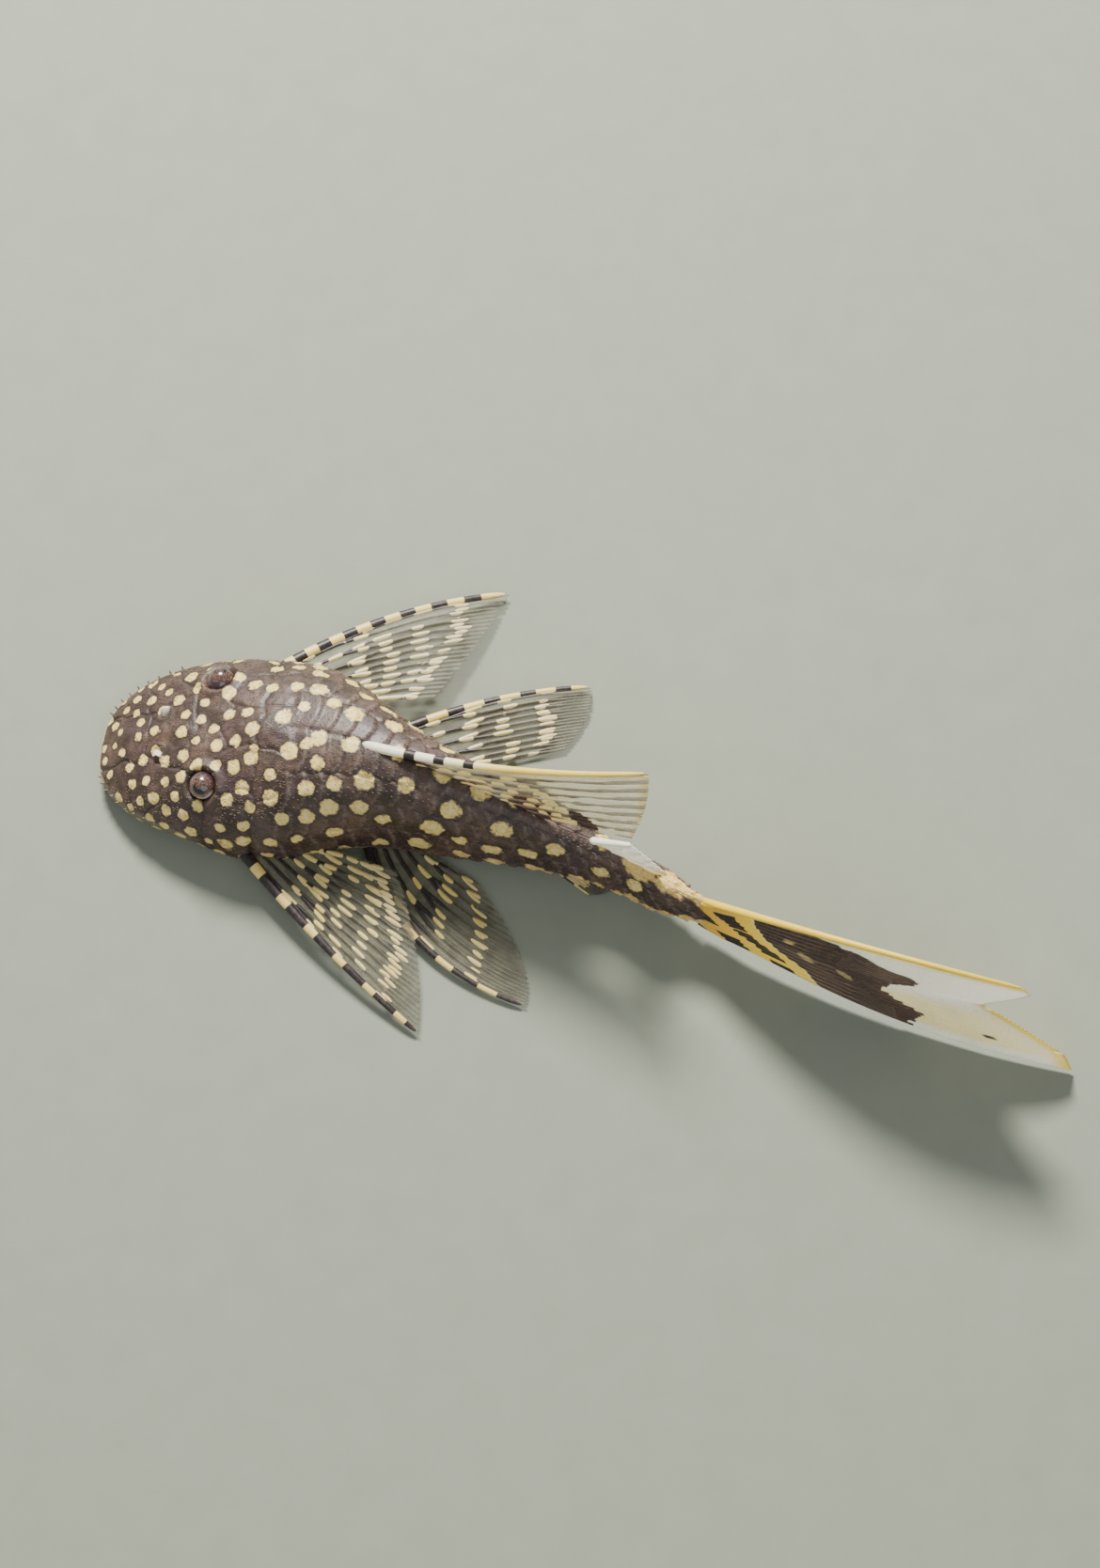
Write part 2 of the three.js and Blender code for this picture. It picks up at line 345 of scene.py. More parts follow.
def plateAt(s, around):  # row, place in the row's height, and place along the plate, each from 0 to 1
    rows = bodyPlates["rows"]
    row = max(i for i in range(len(rows) - 1) if around >= rows[i] or i == 0)
    across = clamp((around - rows[row]) / (rows[row + 1] - rows[row]))
    along = (s - bodyPlates["start"] - plateBulge(across)) / bodyPlates["pitch"] + 0.5 * (row % 2)
    return row, across, along


def bellyShare(s, around):
    edge = mix(*bareBelly["edge"], ease((s - bareBelly["edgeFrom"]) / bareBelly["edgeOver"]))
    end = ease((s - bareBelly["endFrom"]) / bareBelly["endOver"])
    return ramp(around, edge - bareBelly["blend"], edge + bareBelly["blend"]) * (1 - end)


def nakedShare(s, around):  # the soft margin of the snout
    low = mix(*softSnout["low"], ease(s / softSnout["lowOver"]))
    below, behind = ramp(around, *softSnout["high"]), ramp(s, *softSnout["end"])
    return ramp(around, low, low + softSnout["blend"]) * (1 - below) * (1 - behind)


def headRelief(p, s, right, around):
    off = abs(right)
    lift = noseRidge["height"] * hump(right, noseRidge["width"])
    lift *= ramp(s, *noseRidge["rise"]) * (1 - ramp(s, *noseRidge["fall"]))
    for side, reach, station, length, height in headForms:
        lift += height * hump(off - side, reach) * hump(s - station, length)
    behindGill = s - gillGroove["station"] - gillGroove["slant"] * (off - gillGroove["side"])
    lift -= gillGroove["depth"] * hump(behindGill, gillGroove["width"]) * ramp(off, *gillGroove["from"])
    wobble = noise.noise(p * headPlates["wobbleGrain"]) * headPlates["wobble"]
    near, second = sorted(math.hypot(s + wobble - a, off + wobble - b) for a, b in headPlates["seeds"])[:2]
    bony = 1 - nakedShare(s, around)
    seamAndCreaseShade = hump(second - near, headPlates["groove"]) * bony
    lift -= headPlates["depth"] * seamAndCreaseShade
    lift += headPlates["rough"] * noise.noise(p * headPlates["roughGrain"]) * bony
    upper = 1 - ramp(around, *headPlates["lowerEdge"])
    return lift * upper, seamAndCreaseShade * upper


def bodyRelief(s, around):
    row, across, along = plateAt(s, around)
    phase, rows = along % 1, bodyPlates["rows"]
    height = bodyPlates["quarterGirth"] * (rows[row + 1] - rows[row]) / 90
    lift = bodyPlates["lap"] * phase ** bodyPlates["lapCurve"] * (1 - ramp(phase, bodyPlates["lapEnd"], 1))
    keel = bodyPlates["keel"] * (1 if row else bodyPlates["ridgeKeel"])
    lift += keel * hump((across - 0.5) * height / 2, bodyPlates["keelWidth"])
    lift -= bodyPlates["groove"] * hump(min(across, 1 - across) * height, bodyPlates["grooveWidth"])
    start, stop = bodyPlates["paleEdge"]
    return lift, ramp(phase, start, bodyPlates["lapEnd"]) * (1 - ramp(phase, stop, 1))


shoulder = {  # over the pectoral spine
    "behindSnout": 11.1, "side": 7.0, "up": 1.9, "height": 0.34, "reach": 1.0,
}


def shoulderAt(right):
    return point(shoulder["behindSnout"], math.copysign(shoulder["side"], right), shoulder["up"])


under = {
    "gillStation": 10.3, "gillSide": (2.4, 5.9), "gillEnds": 0.6, "gillMiddle": 4.2, "gillBow": 0.16,
    "gillWidth": 0.17, "gillDepth": 0.34,
    "girdleStation": 14.3, "girdleSlant": 0.12, "girdleSide": (3.6, 4.8), "girdleWidth": 0.28,
    "girdleDepth": 0.16,
    "lineStart": (10.6, 11.4), "lineEnd": (13.4, 14.2), "lineWidth": 0.16, "lineDepth": 0.08,
    "vent": 29.3, "ventReach": 0.36, "ventDepth": 0.2,
    "bumps": ((0.05, 2.6), (0.06, 0.8)),  # depth and how finely they lie
    "furrowShadeStrength": (1, 0.35, 0.3, 0.8),  # painted shade in the furrows of gill slit, girdle, middle line and vent
}


def bellyRelief(p, s, right):  # how far marks of the underside go in, and how much shade is painted into their furrows
    off = abs(right)
    start, stop = under["gillSide"]
    bow = under["gillBow"] * (off - under["gillMiddle"]) ** 2
    slit = hump(s - under["gillStation"] - bow, under["gillWidth"])
    slit *= ramp(off, start, start + under["gillEnds"]) * (1 - ramp(off, stop - under["gillEnds"], stop))
    girdle = hump(s - under["girdleStation"] + under["girdleSlant"] * off, under["girdleWidth"])
    girdle *= 1 - ramp(off, *under["girdleSide"])
    line = hump(right, under["lineWidth"]) * ramp(s, *under["lineStart"]) * (1 - ramp(s, *under["lineEnd"]))
    vent = hump(math.hypot(s - under["vent"], right), under["ventReach"])
    marks = (slit, girdle, line, vent)
    depths = (under[mark + "Depth"] for mark in ("gill", "girdle", "line", "vent"))
    depth = sum(mark * deep for mark, deep in zip(marks, depths))
    depth += sum(deep * (0.5 + 0.5 * noise.noise(p * grain)) for deep, grain in under["bumps"])
    return depth, clamp(sum(mark * dark for mark, dark in zip(marks, under["furrowShadeStrength"])))


def relief(p, s, right, around):  # how far the skin stands off the solid, how dark the head's seams and the painted shade in the belly's furrows are, and where plates show their edges
    belly = bellyShare(s, around)
    onHead = 1 - ramp(s, headPlates["end"] - 0.5, headPlates["end"] + 0.5)
    headLift, seamAndCreaseShade = headRelief(p, s, right, around)
    bodyLift, edge = bodyRelief(s, around)
    sunk, furrowShade = bellyRelief(p, s, right)
    lift = (headLift * onHead + bodyLift * (1 - onHead)) * (1 - belly)
    lift -= skinMesh["inset"] * (1 - belly) + sunk * belly
    lift += shoulder["height"] * hump((p - shoulderAt(right)).length, shoulder["reach"])
    gap = min((p - eye).length for eye in eyes)
    if gap < orbit["reach"]:
        lift += orbit["rimHeight"] * hump(gap - orbit["rim"], orbit["rimWidth"])
        lift -= orbit["socketDepth"] * (1 - ramp(gap, *orbit["socket"]))
    if around < 90:
        pit = math.hypot(s - nostril["station"], abs(right) - nostril["side"])
        lift += nostril["rimHeight"] * hump(pit - nostril["rim"], nostril["rimWidth"])
        lift -= nostril["depth"] * hump(pit, nostril["pit"])
    return lift, max(seamAndCreaseShade * onHead * (1 - belly), furrowShade * belly), edge * (1 - onHead) * (1 - belly)


# Cream spots, thrown over the head and flanks so that none comes too near another
spotLayout = {
    "seed": 11, "throws": 9000, "firstStation": 0.25, "lastStation": 40.5,
    "stations": (0, 8, 14, 24), "spacing": (0.98, 1.34, 1.5, 2.15), "radius": (0.32, 0.43, 0.52, 0.68),
    "crowding": 1.3, "angles": (-22, 202), "sizes": (0.8, 1.2), "eyeRoom": 1.45, "bareShare": 0.3,
    "twins": 0.09, "twinAway": 1.5, "twinSize": 0.75, "ragged": 0.11, "raggedGrain": 2.3,
    "compared": 4,
}


def alongStations(values, s):
    stations = spotLayout["stations"]
    for i in range(len(stations) - 1):
        if s < stations[i + 1]:
            return mix(values[i], values[i + 1], (s - stations[i]) / (stations[i + 1] - stations[i]))
    return values[-1]


def throwSpots():
    dice = random.Random(spotLayout["seed"])
    spots = []
    for _ in range(spotLayout["throws"]):
        share = dice.random() ** spotLayout["crowding"]
        s = mix(spotLayout["firstStation"], spotLayout["lastStation"], share)
        angle = math.radians(dice.uniform(*spotLayout["angles"]))
        size = dice.uniform(*spotLayout["sizes"])
        around = abs(90 - math.degrees(angle))
        p = place(s, *section(s, angle))
        nearEye = min((p - eye).length for eye in eyes) < spotLayout["eyeRoom"]
        if nearEye or bellyShare(s, around) > spotLayout["bareShare"]:
            continue
        room = alongStations(spotLayout["spacing"], s)
        if all((p - other).length > room for other, radius in spots):
            radius = alongStations(spotLayout["radius"], s) * size
            spots.append((p, radius))
            if dice.random() < spotLayout["twins"]:
                nudge = Vector((dice.uniform(-1, 1), dice.uniform(-1, 1), 0)).normalized()
                spots.append((p + nudge * radius * spotLayout["twinAway"], radius * spotLayout["twinSize"]))
    return spots


spots = throwSpots()
spotTree = KDTree(len(spots))
for number, (spot, radius) in enumerate(spots):
    spotTree.insert(spot, number)
spotTree.balance()
print("spots", len(spots))


def spotAt(p):  # distance to the nearest spot's middle in units of its radius
    frayed = p + noise.noise_vector(p * spotLayout["raggedGrain"]) * spotLayout["ragged"]
    return min(gap / spots[number][1] for _, number, gap in spotTree.find_n(frayed, spotLayout["compared"]))


rearEdges = {
    "backWidth": 34, "backFrom": (37, 41),
    "underMiddle": 124, "underWidths": (20, 30), "underWiden": (36, 41), "underFrom": (30, 35),
    "blotch": (0.55, 0.7), "grain": 0.75, "strength": (1.4, 2.2), "strongest": (38, 42),
}


def rearCream(p, s, around):  # cream edges along the back and underside of the tail stalk
    back = hump(around, rearEdges["backWidth"]) * ramp(s, *rearEdges["backFrom"])
    width = mix(*rearEdges["underWidths"], ramp(s, *rearEdges["underWiden"]))
    below = hump(around - rearEdges["underMiddle"], width) * ramp(s, *rearEdges["underFrom"])
    level, swing = rearEdges["blotch"]
    blotch = level + swing * noise.noise(p * rearEdges["grain"])
    return clamp((back + below) * blotch * mix(*rearEdges["strength"], ramp(s, *rearEdges["strongest"])))


# Joining a bmesh in millimetres up as a finished piece
def joined(bm, name, finish, slot, *nodes):
    bmesh.ops.scale(bm, vec=(mm, mm, mm), verts=bm.verts)
    mesh = bpy.data.meshes.new(name)
    bm.to_mesh(mesh)
    bm.free()
    mesh.shade_smooth()
    mesh.materials.append(finish.material)
    piece = bpy.data.objects.new(name, mesh)
    bpy.context.scene.collection.objects.link(piece)
    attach(piece, "root")
    if nodes:
        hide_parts(*nodes)
    return piece


skinMasks = ("spotField", "plateEdge", "seamAndCreaseShade", "naked", "belly", "rear")


skinPaint = {
    "umber": (56, 41, 33), "brown": (98, 76, 64), "purple": (86, 64, 70), "shade": (46, 37, 34),
    "plateEdge": (128, 108, 96), "ring": (44, 34, 32), "naked": (122, 116, 98), "seamAndCreaseShade": (40, 32, 30),
    "belly": (196, 178, 146), "bellyShade": (150, 132, 108), "pebble": (214, 200, 172),
    "spot": (232, 208, 128), "spotShade": (206, 170, 92), "spotHeart": (240, 226, 172),
    "rear": (226, 194, 116), "tips": (196, 176, 150),
    "mottleGrain": 2.2, "purpleGrain": 3.4, "fineGrain": 0.32, "cell": 0.16,
}


def skinFinish(name, tips=0.0, **fixed):
    finish, paint = Finish(name, **fixed), skinPaint
    spotField, plateEdge, seamAndCreaseShade, naked, belly, rear = (finish.mask(mask) for mask in skinMasks)
    mottle, fine = finish.noise(paint["mottleGrain"], 3), finish.noise(paint["fineGrain"], 3)
    grain = finish.cells(paint["cell"])
    dark = finish.tint(paint["umber"], paint["brown"], mottle.step(0.36, 0.68))
    dark = finish.tint(dark, paint["purple"], finish.noise(paint["purpleGrain"], 1).step(0.5, 0.72) * 0.5)
    dark = finish.tint(dark, paint["shade"], fine.step(0.58, 0.34) * 0.5)
    dark = finish.tint(dark, paint["plateEdge"], plateEdge * fine.step(0.35, 0.6) * 0.5)
    ring = spotField.step(0.95, 1.12) * spotField.step(1.7, 1.2)
    dark = finish.tint(dark, paint["ring"], ring * 0.55)
    dark = finish.tint(dark, paint["naked"], naked * (0.45 + 0.4 * fine))
    pale = finish.tint(paint["belly"], paint["bellyShade"], mottle.step(0.4, 0.66))
    pale = finish.tint(pale, paint["pebble"], grain.step(0.5, 0.2) * 0.35)
    dark = finish.tint(dark, pale, belly * (0.74 + 0.3 * mottle))
    # dark seams between the head's plates, and painted shade in the belly's furrows
    dark = finish.tint(dark, paint["seamAndCreaseShade"], seamAndCreaseShade * 0.6)
    cream = finish.tint(paint["spot"], paint["spotShade"], fine.step(0.42, 0.66) * 0.7)
    cream = finish.tint(cream, paint["spotHeart"], spotField.step(0.6, 0.1) * 0.5)
    field = spotField + (fine - 0.5) * 0.7 + (mottle - 0.5) * 0.3 + belly * 0.4
    spotted = finish.tint(dark, cream, field.step(1.12, 0.82) * (1 - belly))
    spotted = finish.tint(spotted, paint["rear"], (rear + (fine - 0.5) * 0.5).step(0.34, 0.56))
    finish.set("Base Color", finish.tint(spotted, paint["tips"], tips) if tips else spotted)
    finish.set("Roughness", 0.4 + 0.22 * fine)
    finish.bump((1 - grain) * 0.6 + fine * 0.4, 0.05, 0.55)
    return finish


def evenAngles(s, count):  # angles from under the belly to the ridge that lie about evenly along the skin
    probes = skinMesh["angleProbes"]
    turns = [2 * i / probes - 1 for i in range(probes + 1)]
    angles = [math.copysign(t * t, t) * math.pi / 2 for t in turns]
    points = [Vector(section(s, angle)) for angle in angles]
    reach = [0.0]
    for i in range(probes):
        share = 1 if angles[i] >= 0 else skinMesh["underShare"]
        reach.append(reach[-1] + (points[i + 1] - points[i]).length * share + 1e-5)
    found, i = [], 0
    for k in range(count + 1):
        wanted = reach[-1] * k / count
        while i < probes - 1 and reach[i + 1] < wanted:
            i += 1
        found.append(mix(angles[i], angles[i + 1], clamp((wanted - reach[i]) / (reach[i + 1] - reach[i]))))
    return found


def wrapPlace(s, angle):  # place on the skin's own unwrap
    end, side = skinMesh["wrapMargin"]
    along, around = s / body["length"], (angle - math.pi / 2) / (2 * math.pi)
    return Vector((end + (1 - 2 * end) * along, 0.5 + (1 - 2 * side) * around))


def makeSkin():
    bm = bmesh.new()
    half = skinMesh["around"] // 2
    bmesh.ops.create_uvsphere(bm, u_segments=skinMesh["around"], v_segments=skinMesh["along"], radius=1)
    masks = [bm.verts.layers.float.new(mask) for mask in skinMasks]
    rings, laid = {}, []
    for v in bm.verts:
        ring = round(math.acos(clamp(v.co.z, -1, 1)) / math.pi * skinMesh["along"])
        s = body["length"] * (ring / skinMesh["along"]) ** skinMesh["crowding"]
        if ring not in rings:
            rings[ring] = evenAngles(s, half)
        turn = math.atan2(v.co.y, v.co.x)
        onRight = v.co.x >= 0
        lifted = turn if onRight else math.copysign(math.pi, turn) - turn
        angle = rings[ring][round(clamp(lifted / math.pi + 0.5) * half)]
        right, up = section(s, angle)
        right *= mix(1, skinMesh["tailTaper"], ramp(s, *skinMesh["taperStations"])) * (1 if onRight else -1)
        v.co = place(s, right, up)
        laid.append((v, s, right, 90 - math.degrees(angle)))
    bmesh.ops.recalc_face_normals(bm, faces=bm.faces)
    bm.normal_update()
    for v, s, right, around in laid:
        p = v.co.copy()
        lift, seamAndCreaseShade, edge = relief(p, s, right, around)
        belly = bellyShare(s, around)
        values = (spotAt(p), edge, seamAndCreaseShade, nakedShare(s, around), belly, rearCream(p, s, around))
        for mask, value in zip(masks, values):
            v[mask] = value
        v.co = p + v.normal * lift
        v.co.z = max(v.co.z, 0)
    bm.normal_update()
    tree = BVHTree.FromBMesh(bm)
    finish = skinFinish("skin_finish", Coat_Weight=0.12, Coat_Roughness=0.35)
    joined(bm, "skin", finish, "skin", "head", "trunk", "tail_stalk")
    return tree


setCamera()
setLights()
skinTree = makeSkin()
print("skin done")


# Odontodes: small backward spikes, each with a patch of its own on the skin's unwrap
thorns = {
    "seed": 5, "batch": 250, "sides": 4, "lift": 0.3, "sunk": 0.42, "tip": 0.16, "patch": 0.003,
    "pale": 0.6, "headCount": 2300, "headLength": (0.14, 0.2), "headRadius": 0.035, "headStart": 0.4,
    "headCrowding": 0.8, "headAngles": (-14, 194), "headSway": 0.3, "eyeRoom": 1.15, "nakedShare": 0.3,
    "bareShare": 0.2, "plateRadius": 0.036, "acrossScatter": 0.15, "alongScatter": 0.05,
    "plateBareShare": 0.4, "tailRoom": 1.4,
    "plateRows": ((0.84, 7, 0.24), (0.5, 5, 0.18), (0.18, 4, 0.16)),  # along a plate, how many, length
}
cheek = {
    "count": 13, "station": 10.2, "scatter": (-0.45, 0.5), "degrees": (-2, 12), "length": 0.55,
    "sizes": (0.6, 1), "yaw": (0.2, 0.6), "radius": 0.045, "lift": 0.35,
}


def onSkin(s, angle):
    right, up = section(s, angle)
    at, normal, _, _ = skinTree.find_nearest(place(s, right, up))
    return at, normal


def thornAt(s, angle, length, radius, lift, yaw=0.0):
    at, normal = onSkin(s, angle)
    heading = headingAt(s) + yaw
    back = Vector((math.cos(heading), math.sin(heading), 0))
    back = (back - normal * back.dot(normal)).normalized()
    around = abs(90 - math.degrees(angle))
    shares = nakedShare(s, around), bellyShare(s, around), rearCream(at, s, around)
    masks = (spotAt(at), thorns["pale"], 0.0, *shares)
    return at, (back + normal * lift).normalized(), length, radius, wrapPlace(s, angle), masks


def facedOut(bm, *said):
    bmesh.ops.recalc_face_normals(bm, faces=bm.faces)
    joined(bm, *said)


def makeThorns(name, roots, finish, slot, maskNames=skinMasks):
    whole = bmesh.new()
    scratch = bpy.data.meshes.new(name + "_batch")
    for first in range(0, len(roots), thorns["batch"]):
        part = bmesh.new()
        uv = part.loops.layers.uv.new("OFBake")
        layers = [part.verts.layers.float.new(mask) for mask in maskNames]
        for at, lie, length, radius, corner, masks in roots[first:first + thorns["batch"]]:
            middle = Matrix.Translation(at + lie * length * thorns["sunk"])
            made = bmesh.ops.create_cone(
                part, cap_ends=True, cap_tris=False, segments=thorns["sides"],
                radius1=radius, radius2=radius * thorns["tip"], depth=length,
                matrix=middle @ lie.to_track_quat("Z", "Y").to_matrix().to_4x4(),
            )["verts"]
            for v in made:
                for layer, value in zip(layers, masks):
                    v[layer] = value
                offset = v.co - at
                patch = corner + Vector((offset.dot(lie), offset.length)) * thorns["patch"] / (2 * length)
                for loop in v.link_loops:
                    loop[uv].uv = patch
        part.to_mesh(scratch)
        part.free()
        whole.from_mesh(scratch)
    joined(whole, name, finish, slot)


def headThorns(dice):
    roots, start = [], thorns["headStart"]
    while len(roots) < thorns["headCount"]:
        s = start + headPlates["end"] * dice.random() ** thorns["headCrowding"]
        angle = math.radians(dice.uniform(*thorns["headAngles"]))
        around = abs(90 - math.degrees(angle))
        p = place(s, *section(s, angle))
        nearEye = min((p - eye).length for eye in eyes) < thorns["eyeRoom"]
        bare = bellyShare(s, around) > thorns["bareShare"]
        if nearEye or bare or nakedShare(s, around) > thorns["nakedShare"]:
            continue
        length = dice.uniform(*thorns["headLength"])
        sway = dice.uniform(-thorns["headSway"], thorns["headSway"])
        roots.append(thornAt(s, angle, length, thorns["headRadius"], thorns["lift"], sway))
    return roots


def plateThorns(dice):
    roots = []
    rows, pitch = bodyPlates["rows"], bodyPlates["pitch"]
    plates = int((body["length"] - thorns["tailRoom"] - bodyPlates["start"]) / pitch)
    for row, plate, kind in product(range(len(rows) - 1), range(plates), thorns["plateRows"]):
        phase, count, length = kind
        for k in range(count):
            across = (k + 0.5 + dice.uniform(-thorns["acrossScatter"], thorns["acrossScatter"])) / count
            around = mix(rows[row], rows[row + 1], across)
            s = bodyPlates["start"] + plateBulge(across) + (plate + phase - 0.5 * (row % 2)) * pitch
            s += dice.uniform(-thorns["alongScatter"], thorns["alongScatter"])
            if s < headPlates["end"] or bellyShare(s, around) > thorns["plateBareShare"]:
                continue
            for side in (-1, 1):
                angle = math.radians(90 - side * around)
                roots.append(thornAt(s, angle, length, thorns["plateRadius"], thorns["lift"]))
    return roots


def cheekThorns(dice):
    roots = []
    for side, _ in product((1, -1), range(cheek["count"])):
        s = cheek["station"] + dice.uniform(*cheek["scatter"])
        degrees = dice.uniform(*cheek["degrees"])
        angle = math.radians(degrees if side > 0 else 180 - degrees)
        length = cheek["length"] * dice.uniform(*cheek["sizes"])
        yaw = side * dice.uniform(*cheek["yaw"])
        roots.append(thornAt(s, angle, length, cheek["radius"], cheek["lift"], yaw))
    return roots


def makeOdontodes():
    dice = random.Random(thorns["seed"])
    finish = skinFinish("odontode_finish", tips=0.22)
    makeThorns("odontodes_head", headThorns(dice) + cheekThorns(dice), finish, "skin")
    makeThorns("odontodes_body", plateThorns(dice), finish, "skin")


makeOdontodes()
print("odontodes done")


# Eyes
eyeShape = {
    "radius": 1.0, "gaze": (-0.12, 0.6, 0.79), "segments": 96, "rings": 64,
    "cornea": 0.05, "corneaEdge": (0.55, 0.95),  # how far it stands proud
    "pupil": (0.24, 0.215), "lappet": (0.15, 0.125), "lappetUp": 0.11,
    "iris": (62, 44, 42), "irisLight": (128, 96, 74), "lowerRim": (224, 200, 186), "rim": (62, 42, 50),
    "black": (9, 8, 10), "grain": 0.12,
}


def eyeFinish():
    finish = Finish("eye_finish", Coat_Weight=1.0, Coat_Roughness=0.04, Roughness=0.25)
    unwrap = finish.node("ShaderNodeUVMap", {"uv_map": "gaze"})
    across = finish.node("ShaderNodeSeparateXYZ", {}, {0: unwrap})
    side = across - 0.5
    upward = Wire(finish, across.socket.node.outputs[1]) - 0.5
    above = upward - eyeShape["lappetUp"]
    reach, lappet = (side * side + upward * upward).root(), (side * side + above * above).root()
    fine = finish.noise(eyeShape["grain"], 3)
    iris = finish.tint(eyeShape["iris"], eyeShape["irisLight"], fine.step(0.4, 0.7))
    iris = finish.tint(iris, eyeShape["lowerRim"], reach.step(0.3, 0.4) * upward.step(0.0, -0.24) * 0.85)
    iris = finish.tint(iris, eyeShape["rim"], reach.step(0.41, 0.47))
    pupil = (reach + (fine - 0.5) * 0.02).step(*eyeShape["pupil"])
    covered = lappet.step(*eyeShape["lappet"])  # the lappet hangs over the pupil
    finish.set("Base Color", finish.tint(iris, eyeShape["black"], pupil * (1 - covered)))
    return finish


def makeEyes():
    finish = eyeFinish()
    for name, centre, side in (("right", eyes[0], 1), ("left", eyes[1], -1)):
        gaze = Vector(eyeShape["gaze"])
        gaze.y *= side
        gaze.normalize()
        forward = Vector((-1, 0, 0))
        forward = (forward - gaze * forward.dot(gaze)).normalized()
        upward = gaze.cross(forward)
        upward = upward if upward.z > 0 else -upward
        bm = bmesh.new()
        segments, rings = eyeShape["segments"], eyeShape["rings"]
        bmesh.ops.create_uvsphere(bm, u_segments=segments, v_segments=rings, radius=1)
        uv = bm.loops.layers.uv.new("gaze")
        for face in bm.faces:
            for loop in face.loops:
                ball = loop.vert.co
                flat = Vector((ball.dot(forward), ball.dot(upward)))
                share = 0.5 if ball.dot(gaze) > 0 else 0.5 * (2 - flat.length)
                loop[uv].uv = Vector((0.5, 0.5)) + flat * share
        for v in bm.verts:
            dome = 1 + eyeShape["cornea"] * ramp(v.co.dot(gaze), *eyeShape["corneaEdge"])
            v.co = centre + v.co * eyeShape["radius"] * dome
        joined(bm, "eye_ball_" + name, finish, "eye", "eye_" + name)


makeEyes()
print("eyes done")


# Rods: spines, feelers and bristles are balls drawn out along a path
rodShape = {"probe": 0.01, "roundEnds": 14}


def rod(bm, path, radius, sides=16, rings=40, flat=1.0, upright=Vector((0, 0, 1))):
    made = bmesh.ops.create_uvsphere(bm, u_segments=sides, v_segments=rings, radius=1)["verts"]
    found = []
    for v in made:
        along = math.acos(clamp(v.co.z, -1, 1)) / math.pi
        turn = math.atan2(v.co.y, v.co.x)
        ahead = (path(along + rodShape["probe"]) - path(along - rodShape["probe"])).normalized()
        side = ahead.cross(upright).normalized()
        lift = side.cross(ahead)
        size = radius(along)
        for end in (along, 1 - along):
            size *= quarterRound(end * rodShape["roundEnds"])
        v.co = path(along) + (side * math.cos(turn) + lift * math.sin(turn) * flat) * size
        found.append((v, along, turn))
    return found


def bent(a, b, c):  # a curve through three places
    return lambda t: a * (1 - t) ** 2 + (4 * b - a - c) * t * (1 - t) + c * t * t


# Fins
def spread(root, edge, edgeBow=0.0, rayBow=(0, 0, 0), lastRayBow=(0, 0, 0), **rest):
    bows = {"edgeBow": edgeBow, "rayBow": Vector(rayBow), "lastRayBow": Vector(lastRayBow)}
    return {"root": root, "edge": edge, **bows, **rest}


notch = {"at": 0.44, "halfWidth": 0.36, "depth": 4.6}


def tailNotch(u):
    return -notch["depth"] * max(0, 1 - abs(u - notch["at"]) / notch["halfWidth"])
